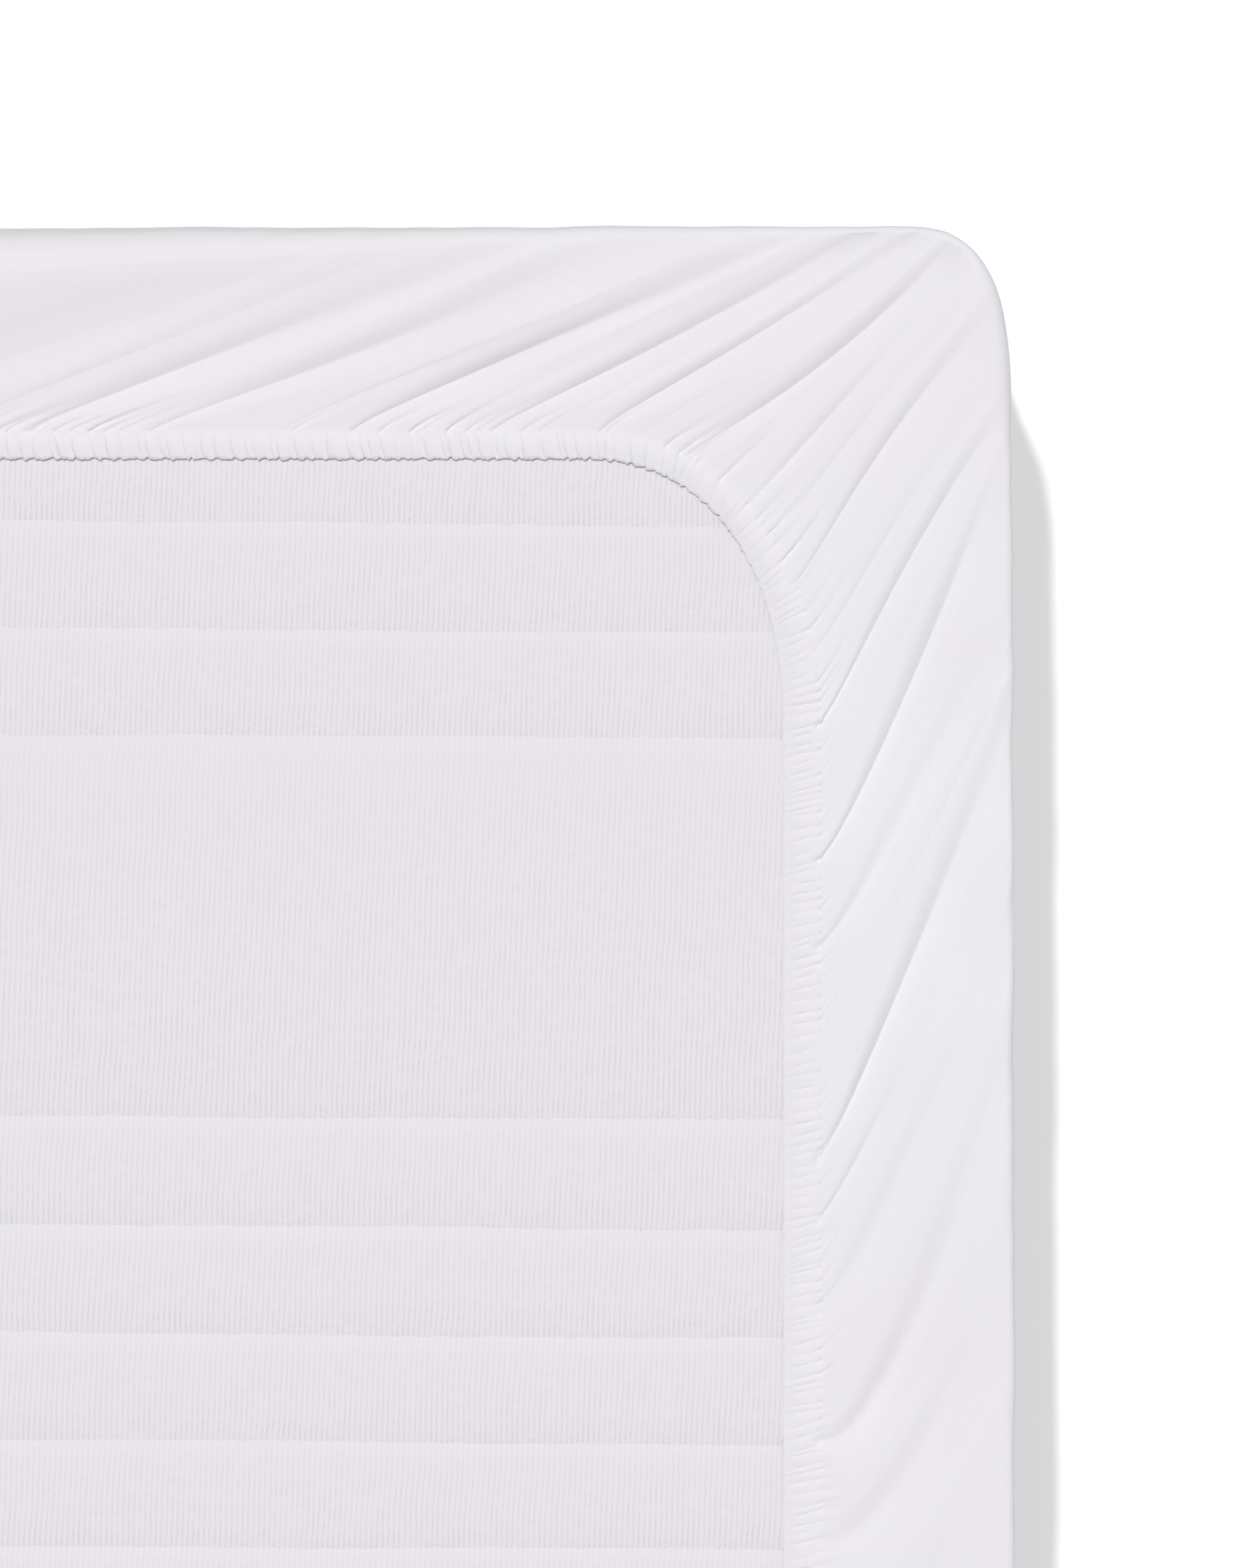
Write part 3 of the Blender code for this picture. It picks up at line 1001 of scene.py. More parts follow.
    def spread(self, quarter: Quarter, seams: np.ndarray, way: float) -> np.ndarray:
        """Distances square across the lines, from the first line on.

        Args:
            quarter: The corner.
            seams: Where each line starts, along the seam.
            way: How far along the lines the distances are taken.

        Returns:
            The running distance at each line.
        """
        near = 0.02
        here = self.place(quarter, seams, way)
        before = self.place(quarter, seams, max(way - near, 0.0))
        after = self.place(quarter, seams, min(way + near, 1.0))
        along = after - before
        along /= np.linalg.norm(along, axis=1)[:, None]
        step = np.diff(here, axis=0)
        middle = (along[1:] + along[:-1]) / 2
        across = np.abs(step[:, 0] * middle[:, 1] - step[:, 1] * middle[:, 0])
        return np.concatenate([[0.0], np.cumsum(across)])

    def lift(self, quarter: Quarter, seams: np.ndarray, way: float) -> np.ndarray:
        """How far the folds lift the cloth.

        Args:
            quarter: The corner.
            seams: Where each line starts, along the seam.
            way: How far along the lines the lift is taken.

        Returns:
            The lift at each line.
        """
        total = np.zeros_like(seams)
        grid = np.linspace(quarter.start - self.grid_lead, self.seam.length, self.grid_steps)
        across = self.spread(quarter, grid, way)
        here = np.interp(seams, grid, across)
        for fold in self.folds(quarter) + self.puckers(quarter):
            before = float(np.interp(fold.seam, grid, across)) - here
            total += self.groove(fold, before, way)
        return total * faded(seams, quarter.start, self.seam.length, self.fade_at_middles)

    def groove(self, fold: Fold, before: np.ndarray, way: float) -> np.ndarray:
        """The section of one fold, which is blurred where its crease has gone soft.

        Args:
            fold: The fold.
            before: Distances of the wanted lines before its crease, square across it.
            way: How far along the fold its section is taken.

        Returns:
            The fold's lift at those lines.
        """
        before_power, after_power = self.fall_power, self.climb_power
        size = between(self.hem_share, 1.0, eased(way, 0.0, self.hem_ease))
        narrower = size * (self.narrowest + self.widening * way)
        flattens_from = max(fold.sharp, self.flattens_from)
        flatter = 1.0 - self.flattening * eased(way, flattens_from, self.flattens_over)
        if fold.steep < 0.0:
            before_power, after_power = self.ridge_power, 1.0
            narrower = self.ridge_widest - self.ridge_narrows * way
            begun = eased(way, self.ridge_from, self.ridge_ease)
            depth = fold.steep * fold.climb * narrower * begun * flatter
            blur = self.ridge_blur
        elif fold.dies is None:
            depth = fold.steep * fold.fall * size / before_power * flatter
            blur = self.crease_blur + self.softest * eased(way, fold.sharp, self.softens_over)
        else:
            depth = fold.steep * fold.fall / before_power * (1.0 - eased(way, 0.0, fold.dies))
            blur = self.pucker_blur + self.pucker_softens * way
        fall, climb = fold.fall * narrower, fold.climb * narrower
        step = 0.25 * MM
        reach = 3.0 * blur
        distances = np.arange(-climb - 2 * reach, fall + 2 * reach, step)
        falling = np.clip(1.0 - distances / fall, 0.0, 1.0) ** before_power
        climbing = np.clip(1.0 + distances / climb, 0.0, 1.0) ** after_power
        section = -depth * np.where(distances >= 0.0, falling, climbing)
        spots = np.arange(-reach, reach + step / 2, step)
        kernel = np.exp(-((spots / blur) ** 2) / 2)
        section = np.convolve(section, kernel / kernel.sum(), mode="same")
        return np.interp(before, distances, section, left=0.0, right=0.0)


# Meshes


def meshed(
    name: str,
    points: np.ndarray,
    faces: list[list[int]],
    maps: dict[SurfaceMap, np.ndarray],
) -> bpy.types.Mesh:
    """Make a mesh whose faces point out.

    Args:
        name: The mesh's name.
        points: Its points.
        faces: Its faces, each as the numbers of its points.
        maps: Each flat map, as two distances for each corner of each face.

    Returns:
        The mesh.
    """
    mesh = bpy.data.meshes.new(name)
    mesh.from_pydata(points.tolist(), [], faces)
    for surface_map, corners in maps.items():
        layer = mesh.uv_layers.new(name=surface_map.value)
        layer.data.foreach_set("uv", corners.astype(np.float32).ravel())
    shape = bmesh.new()
    shape.from_mesh(mesh)
    bmesh.ops.recalc_face_normals(shape, faces=shape.faces)
    shape.to_mesh(mesh)
    shape.free()
    return mesh


def loft(name: str, rings: np.ndarray, cloth: np.ndarray, tube: bool) -> bpy.types.Mesh:
    """Join rings of points into a mesh.

    Args:
        name: The mesh's name.
        rings: The points, as rings by points by coordinates.
        cloth: The cloth map, as rings by points by its two distances.  It has one more point in each ring
            than the rings have, for where the ring closes.
        tube: Whether the last ring is joined to the first, and not filled.

    Returns:
        The mesh.
    """
    count, size = rings.shape[:2]
    ring, column = np.meshgrid(np.arange(count if tube else count - 1), np.arange(size), indexing="ij")
    below, after = (ring + 1) % count, (column + 1) % size
    quads = [ring * size + column, below * size + column, below * size + after, ring * size + after]
    faces = np.stack(quads, axis=-1).reshape(-1, 4).tolist()
    spots = [(ring, column), (ring + 1, column), (ring + 1, column + 1), (ring, column + 1)]
    corners = np.stack([cloth[spot] for spot in spots], axis=-2).reshape(-1, 2)
    if not tube:
        faces.append(list(range((count - 1) * size, count * size)))
        corners = np.vstack([corners, rings[-1, :, :2]])
    return meshed(name, rings.reshape(-1, 3), faces, {SurfaceMap.CLOTH: corners})


def placed(name: str, mesh: bpy.types.Mesh, material: bpy.types.Material) -> bpy.types.Object:
    """Put a smooth mesh into the scene.

    Args:
        name: The piece's name.
        mesh: Its mesh.
        material: Its finish.

    Returns:
        The piece.
    """
    made = bpy.data.objects.new(name, mesh)
    bpy.context.scene.collection.objects.link(made)
    mesh.materials.append(material)
    mesh.shade_smooth()
    mesh.set_sharp_from_angle(angle=math.radians(SHARP_ANGLE))
    return made


def all_round(rows_of: Callable[[Quarter], list[np.ndarray]]) -> np.ndarray:
    """Join the rows of the four corners into rings.

    Args:
        rows_of: What makes the rows of one corner, in the first quarter.

    Returns:
        Rings of points, all the way round.
    """
    parts = []
    for index, quarter in enumerate(QUARTERS):
        rows = np.stack(rows_of(quarter))
        rows[:, :, 0] *= quarter.side
        rows[:, :, 1] *= quarter.end
        order = slice(0, -1) if index % 2 == 0 else slice(-1, 0, -1)
        parts.append(rows[:, order])
    return np.concatenate(parts, axis=1)


def closed_ring(values: np.ndarray) -> np.ndarray:
    """Repeat a ring's first point at its end."""
    return np.concatenate([values, values[:1]], axis=0)


def running(points: np.ndarray) -> np.ndarray:
    """The distance run along a closed ring of points, with the full round at the end."""
    return np.concatenate([[0.0], np.cumsum(np.linalg.norm(np.diff(closed_ring(points), axis=0), axis=1))])


# The sheet


@dataclass
class FittedSheet:
    """The cloth: its return flap with tension folds, rounded edge, walls and sleeping side."""

    drape: Drape
    top: float
    thickness: float = 1.0 * MM
    flat_size: tuple[float, float] = (1.5, 2.6)
    corner_cut: float = 0.3
    fine_pitch: float = 1.25 * MM
    coarse_pitch: float = 7.5 * MM
    edge_stretch: float = 2.6
    rounds_down: float = 0.2
    beside_crease: tuple[float, ...] = (-0.8 * MM, -0.3 * MM, 0.0, 0.4 * MM)
    beside_plain_crease: tuple[float, ...] = (-1.5 * MM, 0.0)
    nearest: float = 0.25 * MM
    nearest_plain: float = 1.2 * MM
    edge_radii: tuple[tuple[float, float], ...] = (
        (0.0, 24 * MM), (0.14, 17 * MM), (0.22, 11 * MM), (0.30, 7 * MM), (0.36, 5 * MM), (0.43, 5 * MM),
        (0.47, 9 * MM), (0.50, 9 * MM), (0.54, 5 * MM), (0.74, 4 * MM), (0.80, 7 * MM), (0.90, 5 * MM),
        (1.5, 5 * MM),
    )
    rise: float = 2.6 * MM
    more_rise_at_head: float = 4.4 * MM
    head_reach: float = 0.28
    dent_place: float = 0.733
    dent_depth: float = 2.2 * MM
    dent_width: float = 0.013
    dent_turns: tuple[float, float] = (0.5, 0.3)
    hidden_ways: tuple[tuple[float, float], ...] = ((-0.012, 0.5 * MM), (-0.006, 0.2 * MM))
    floor_radius: float = 20.0 * MM
    wall_wave: float = 1.5 * MM
    wall_wave_length: float = 0.17
    wall_slant: float = 0.35
    wall_share: float = 0.4
    corner_gather: float = 1.6 * MM
    corner_gather_length: float = 0.052
    corner_place: float = 0.46
    corner_reach: float = 0.075
    edge_wave: float = 0.5 * MM
    edge_wave_length: float = 0.16
    edge_fade: float = 0.03
    side_swell: float = 1.4 * MM
    side_turns: tuple[float, float] = (0.45, 0.40)
    edge_relief: float = 0.45
    relief_way: float = 0.95
    folds_down_wall: float = 0.045
    unevenness: float = 0.20 * MM
    unevenness_length: float = 0.085
    unevenness_ease: float = 0.1
    unevenness_slant: float = 0.05
    flap_ways: tuple[float, ...] = (
        0.0, 0.012, 0.03, 0.055, 0.09, 0.14, 0.20, 0.27, 0.35, 0.44, 0.53, 0.62, 0.71, 0.80,
    )
    edge_turns: tuple[float, ...] = (0.22, 0.42, 0.62, 0.82, 1.0)
    edge_rows_from_above: int = 3
    wall_heights: tuple[float, ...] = (0.85, 0.65, 0.30)
    floor_turns: tuple[float, ...] = (0.0, 0.35, 0.70, 1.0)
    piece: bpy.types.Object | None = field(default=None, init=False)

    def columns(self, quarter: Quarter) -> np.ndarray:
        """Places along the seam where columns start: close together, and closest at each crease.

        Args:
            quarter: The corner.

        Returns:
            The places, from the middle of the end to the middle of the side.
        """
        seam = self.drape.seam
        beside = self.beside_crease if quarter.fine else self.beside_plain_crease
        nearest = self.nearest if quarter.fine else self.nearest_plain
        lines = [fold.seam + offset for fold in self.drape.folds(quarter) for offset in beside]
        places = [quarter.start]
        for line in sorted(lines):
            if places[-1] + nearest < line < seam.length - 2 * MM:
                places.append(line)
        places.append(seam.length)
        filled = [places[0]]
        for place in places[1:]:
            start = filled[-1]
            ends = self.drape.edge_arcs(quarter, np.array([start, place]))
            fine = quarter.fine and start < PHOTOGRAPHED
            pitch = self.fine_pitch if fine else self.coarse_pitch
            parts = max((place - start) / pitch, (ends[1] - ends[0]) / (pitch * self.edge_stretch))
            parts = math.ceil(parts - self.rounds_down)
            filled += [start + (place - start) * (part + 1) / parts for part in range(parts)]
        return np.array(filled)

    def quarter_rows(self, quarter: Quarter) -> list[np.ndarray]:
        """The outside of the cloth in one corner.

        Args:
            quarter: The corner.

        Returns:
            Rows of points, from the seam over the edge and down to the floor.
        """
        drape = self.drape
        seams = self.columns(quarter)
        ends = drape.edge_arcs(quarter, seams)
        edge = drape.outline.point(ends)
        normal = drape.outline.normal(ends)
        outward = ((edge - drape.seam.point(seams)) * normal).sum(axis=1)
        radius = np.interp(ends, *np.transpose(self.edge_radii))
        rise = self.rise + self.more_rise_at_head * eased(self.head_reach - ends, 0.0, self.head_reach)
        fade = faded(ends, quarter.start, drape.outline.length, self.edge_fade)
        swell = self.edge_wave * waves(ends, self.edge_wave_length, 5, quarter.seed)
        swell = (swell + self.side_swell * eased(ends, *self.side_turns)) * fade
        dent = self.dent_depth * bell(ends, self.dent_place + quarter.drift, self.dent_width)
        rows = self.flap_rows(quarter, seams, 1.0 - radius / outward, rise, fade)
        for row, way in zip(rows[len(self.hidden_ways):], self.flap_ways):
            row[:, :2] += normal * (swell * way - dent * eased(way, *self.dent_turns))[:, None]
        at_edge = drape.lift(quarter, seams, self.relief_way) * self.edge_relief
        for turn in self.edge_turns:
            inward, down = 1.0 - math.sin(turn * math.pi / 2), 1.0 - math.cos(turn * math.pi / 2)
            place = drape.place(quarter, seams, 1.0 - radius * inward / outward)
            place = place + normal * (swell + at_edge * (1.0 - inward) - dent * (1.0 - down))[:, None]
            rows.append(np.column_stack([place, self.top + rise - radius * down + at_edge * (1.0 - down)]))
        return rows + self.wall_rows(quarter, ends, rows[-1][:, 2], swell, at_edge, fade)

    def flap_rows(
        self, quarter: Quarter, seams: np.ndarray, flat: np.ndarray, rise: np.ndarray, fade: np.ndarray
    ) -> list[np.ndarray]:
        """The return flap, from under the band to where the cloth starts to round over.

        Args:
            quarter: The corner.
            seams: Where the columns start, along the seam.
            flat: The share of each column that is flat.
            rise: How much higher the cloth lies there than at the seam.
            fade: A share that fades the unevenness out at the middles of the sides.

        Returns:
            Rows of points.
        """
        drape = self.drape
        at_hem = drape.lift(quarter, seams, 0.0)
        rows = []
        for way, sunk in self.hidden_ways:
            rows.append(np.column_stack([drape.place(quarter, seams, way), self.top + at_hem - sunk]))
        for way in self.flap_ways:
            part = way / self.flap_ways[-1]
            rough = self.unevenness * eased(way, 0.0, self.unevenness_ease) * fade
            places = seams + self.unevenness_slant * way
            rough = rough * waves(places, self.unevenness_length, 4, 5 + quarter.seed)
            height = self.top + drape.lift(quarter, seams, way) + rise * part + rough
            rows.append(np.column_stack([drape.place(quarter, seams, flat * part), height]))
        return rows

    def wall_rows(
        self,
        quarter: Quarter,
        ends: np.ndarray,
        low: np.ndarray,
        swell: np.ndarray,
        at_edge: np.ndarray,
        fade: np.ndarray,
    ) -> list[np.ndarray]:
        """The wall, and its turn under the mattress.

        Args:
            quarter: The corner.
            ends: Where the columns meet the outline, along the outline.
            low: The height at which the wall starts.
            swell: How far out the edge bulges.
            at_edge: How far the folds stand out there.
            fade: A share that fades the waves out at the middles of the sides.

        Returns:
            Rows of points.
        """
        edge, normal = self.drape.outline.point(ends), self.drape.outline.normal(ends)
        at_corner = bell(ends, self.corner_place, self.corner_reach)
        rows = []
        for share in self.wall_heights:
            height = between(self.floor_radius, low, share)
            kept = np.exp(-(low - height) / self.folds_down_wall)
            slant = ends + self.wall_slant * height
            wave = self.wall_wave * waves(slant, self.wall_wave_length, 5, 71 + quarter.seed)
            gather = waves(slant, self.corner_gather_length, 3, 83 + quarter.seed)
            wave = wave + self.corner_gather * gather * at_corner
            out = swell * between(self.wall_share, 1.0, share) + at_edge * kept
            out = out + wave * fade * math.sin(math.pi * share)
            rows.append(np.column_stack([edge + normal * out[:, None], height]))
        for turn in self.floor_turns:
            out = -self.floor_radius * (1.0 - math.cos(turn * math.pi / 2))
            height = self.floor_radius * (1.0 - math.sin(turn * math.pi / 2))
            rows.append(np.column_stack([edge + normal * out, np.full(len(ends), height)]))
        return rows

    def cloth_map(self, rings: np.ndarray) -> np.ndarray:
        """The flat map of the cloth: seen from above on the flap, and unrolled down the walls.

        Args:
            rings: The rings of points.

        Returns:
            The map's two distances at each point.
        """
        flap_count = len(self.hidden_ways) + len(self.flap_ways)
        edge_round = running(rings[flap_count + len(self.edge_turns) - 1, :, :2])
        flat = []
        for number, ring in enumerate(rings):
            if number < flap_count + self.edge_rows_from_above:
                flat.append(closed_ring(ring[:, :2]))
            else:
                flat.append(np.column_stack([edge_round, closed_ring(ring[:, 2])]))
        return np.stack(flat)

    def build(self) -> None:
        """Make the cloth and dress it."""
        rings = all_round(self.quarter_rows)
        mesh = loft("fitted_sheet", rings, self.cloth_map(rings), tube=False)
        self.piece = placed("fitted_sheet", mesh, COTTON.material())
        shell = self.piece.modifiers.new("cloth_thickness", "SOLIDIFY")
        shell.thickness = self.thickness
        shell.offset = -1.0
        shell.use_rim = True

    def ride(self, mattress: "Mattress", band: "ElasticBand") -> None:
        """Put the cloth on its body in place of its solid.

        Args:
            mattress: What the cloth is stretched over; not used.
            band: What is sewn round its mouth; not used.
        """
        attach(self.piece, "root")
        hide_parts("sheet")


# The elastic band


@dataclass(frozen=True)
class Pleat:
    """One gather of the band: where its crease lies along the seam, its height and how far in it goes."""

    place: float
    height: float
    start: float
    sharp: float


@dataclass
class ElasticBand:
    """The strip of cloth gathered on elastic round the mouth of the sheet.

    Each point of its section holds how far in it is, how high on the crown, and how far down the underside.
    """

    drape: Drape
    sheet_top: float
    ticking_top: float
    width_at_ends: float = 11.8 * MM
    width_at_sides: float = 16.4 * MM
    side_turns: tuple[float, float] = (0.27, 0.16)
    fade_at_middles: float = 0.010
    tuck: float = 0.7 * MM
    crown: float = 0.35 * MM
    edge_height: float = 1.95 * MM
    edge_height_at_sides: float = 1.0 * MM
    edge_thickness: float = 0.9 * MM
    overlap: float = 0.06 * MM
    lean: float = 0.12
    lean_at_sides: float = 0.28
    lean_wave: float = 0.16
    lean_wave_length: float = 0.045
    bend: float = 0.07
    scallop: float = 0.35 * MM
    usual_puff: float = 0.5 * MM
    lumps: float = 0.80 * MM
    lump_length: float = 6.2 * MM
    lump_turns: tuple[float, float] = (0.60, 0.40)
    fewer_lumps_at_sides: float = 0.6
    ruffle: float = 0.07 * MM
    ruffle_length: float = 4.6 * MM
    ruffle_ease: float = 0.3
    relief_turns: tuple[float, float] = (0.05, 0.25)
    slope_turns: tuple[float, float] = (0.55, 0.45)
    pleat_turns: tuple[float, float] = (0.30, 0.10)
    pleat_height: tuple[float, float] = (0.28 * MM, 0.60 * MM)
    pleat_start: tuple[float, float] = (0.0, 0.16)
    pleat_sharp: tuple[float, float] = (0.15, 0.60)
    sharpest_chance: float = 0.16
    flatter_at_sides: float = 0.42
    later_at_sides: float = 0.10
    sharper_at_sides: float = 0.20
    usual_gap: float = 6.0 * MM
    puff_lean: float = 0.52
    puff_fullness: float = 0.75
    puff_ease: float = 0.25
    slit_turns: tuple[float, float] = (0.33, 0.10)
    slit_at_ends: float = 0.40 * MM
    slit_at_sides: float = 0.52 * MM
    slit_width: float = 0.38 * MM
    plain_lip: float = 0.85
    lip_turns: tuple[float, float] = (0.64, 0.16)
    stitched: float = 0.17 * MM
    stitched_at: float = 0.105
    stitched_reach: float = 0.03
    fine_pitch: float = 0.9 * MM
    beside_crease: float = 0.35 * MM
    section: tuple[tuple[float, float, float], ...] = (
        (0.0, 0.30, 0.0), (0.055, 0.36, 0.0), (0.105, 0.42, 0.0), (0.16, 0.50, 0.0), (0.24, 0.70, 0.0),
        (0.34, 0.9, 0.0), (0.48, 1.0, 0.0), (0.62, 1.0, 0.0), (0.74, 0.9, 0.0),
        (0.85, 0.7, 0.0), (0.93, 0.5, 0.0), (0.975, 0.4, 0.12), (1.0, 0.3, 0.45),
        (0.985, 0.3, 0.85), (0.93, 0.3, 1.0), (0.60, 0.5, 1.0), (0.0, 0.0, 1.0),
    )
    piece: bpy.types.Object | None = field(default=None, init=False)

    def pleats(self, quarter: Quarter) -> list[Pleat]:
        """The gathers of one corner.

        Args:
            quarter: The corner.

        Returns:
            The gathers, in order along the seam.
        """
        dice = random.Random(quarter.seed * 3)
        found = []
        for place in self.drape.gathers(quarter):
            side = eased(place, *self.pleat_turns)
            height = dice.uniform(*self.pleat_height) * (1.0 - self.flatter_at_sides * side)
            sharp = 1.0
            if dice.random() >= self.sharpest_chance:
                sharp = dice.uniform(*self.pleat_sharp) + self.sharper_at_sides * side
            start = dice.uniform(*self.pleat_start) + self.later_at_sides * side
            found.append(Pleat(place, height, start, sharp))
        return found

    def columns(self, quarter: Quarter, pleats: list[Pleat]) -> np.ndarray:
        """Places along the seam where columns lie: at each crease, beside it and between.

        Args:
            quarter: The corner.
            pleats: Its gathers.

        Returns:
            The places.
        """
        knots = [quarter.start] + [pleat.place for pleat in pleats] + [self.drape.seam.length]
        places = [knots[0]]
        for start, end in zip(knots[:-1], knots[1:]):
            fine = quarter.fine and start < PHOTOGRAPHED
            parts = max(3, math.ceil((end - start) / self.fine_pitch)) if fine else 2
            inner = np.linspace(start + self.beside_crease, end - self.beside_crease, parts)
            places += [*inner.tolist(), end]
        return np.array(places)

    def puffs(self, pleats: list[Pleat], columns: np.ndarray, across: float) -> np.ndarray:
        """How far the cloth puffs up between its creases.

        Args:
            pleats: The gathers.
            columns: Places along the seam.
            across: How far across the band, from 0 at the seam to 1 at its free edge.

        Returns:
            The height at each column.
        """
        table = [(pleat.place, pleat.height, pleat.start, pleat.sharp) for pleat in pleats]
        creases, heights, starts, sharps = np.transpose(table)
        which = np.clip(np.searchsorted(creases, columns + 1e-6) - 1, 0, len(creases) - 2)
        gap = creases[which + 1] - creases[which]
        part = np.clip((columns - creases[which]) / gap, 0.0, 1.0)
        nearest = np.where(part < 0.5, which, which + 1)
        puff = np.sin(math.pi * part**self.puff_lean) ** self.puff_fullness
        puff = puff * heights[which] * np.sqrt(gap / self.usual_gap)
        side = eased(columns, *self.slit_turns)
        depth = between(self.slit_at_ends, self.slit_at_sides, side) * sharps[nearest]
        slit = depth * bell(np.minimum(part, 1.0 - part) * gap, 0.0, self.slit_width)
        begun = eased(across, starts[nearest], self.puff_ease)
        lip = side * eased(across, *self.lip_turns)
        return (puff - slit) * begun * (1.0 - self.plain_lip * lip)

    def quarter_rows(self, quarter: Quarter) -> list[np.ndarray]:
        """The section of the band, carried round one corner.

        Args:
            quarter: The corner.

        Returns:
            Rows of points, from the seam over the crown to the ticking and back underneath.
        """
        drape = self.drape
        pleats = self.pleats(quarter)
        columns = self.columns(quarter, pleats)
        at_hem = drape.lift(quarter, columns, 0.0)
        side = eased(columns, *self.side_turns)
        width = between(self.width_at_ends, self.width_at_sides, side)
        lean = between(self.lean, self.lean_at_sides, side)
        lean = lean + self.lean_wave * waves(columns, self.lean_wave_length, 4, 400 + quarter.seed)
        free = self.ticking_top + between(self.edge_height, self.edge_height_at_sides, side)
        fade = faded(columns, quarter.start, drape.seam.length, self.fade_at_middles)
        ruffles = waves(columns, self.ruffle_length, 3, 500 + quarter.seed)
        lumps = waves(columns, self.lump_length, 3, 600 + quarter.seed)
        lumps = lumps * (1.0 - self.fewer_lumps_at_sides * side)
        rows = []
        for inward, up, down in self.section:
            swing = lean * inward - self.bend * (1.0 - side) * math.sin(math.pi * inward)
            arcs = np.clip(columns + swing * width * fade, quarter.start, drape.seam.length)
            ruffled = self.ruffle * ruffles * eased(inward, 0.0, self.ruffle_ease)
            puff = (self.puffs(pleats, columns, inward) + ruffled) * fade
            slope = eased(inward, *self.slope_turns)
            relief = at_hem * (1.0 - eased(inward, *self.relief_turns))
            stitches = self.stitched * side * bell(inward, self.stitched_at, self.stitched_reach)
            surface = self.sheet_top + relief + self.overlap + self.crown * up - stitches
            surface = between(surface, free, slope)
            under = surface - self.edge_thickness - (1.0 - slope) * self.overlap
            height = between(under, surface, 1.0 - down) if down > 0.0 else surface + puff
            scallop = self.scallop * inward * puff / self.usual_puff
            scallop = scallop + self.lumps * lumps * eased(inward, *self.lump_turns) * fade
            distance = -self.tuck + (width + self.tuck) * inward + scallop
            place = drape.seam.point(arcs) - drape.seam.normal(arcs) * distance[:, None]
            rows.append(np.column_stack([place, height]))
        return rows

    def build(self) -> None:
        """Make the band and dress it."""
        rings = all_round(self.quarter_rows)
        around = running(rings[0, :, :2])
        steps = np.linalg.norm(np.diff(rings, axis=0, append=rings[:1]), axis=2).mean(axis=1)
        down = np.concatenate([[0.0], np.cumsum(steps)])
        cloth = np.stack([np.column_stack([around, np.full(len(around), depth)]) for depth in down])
        mesh = loft("gathered_band", rings, cloth, tube=True)
        self.piece = placed("gathered_band", mesh, GATHERED.material())

    def ride(self) -> None:
        """Put the band on its body in place of its solid."""
        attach(self.piece, "root")
        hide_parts("elastic_edge")


# The mattress


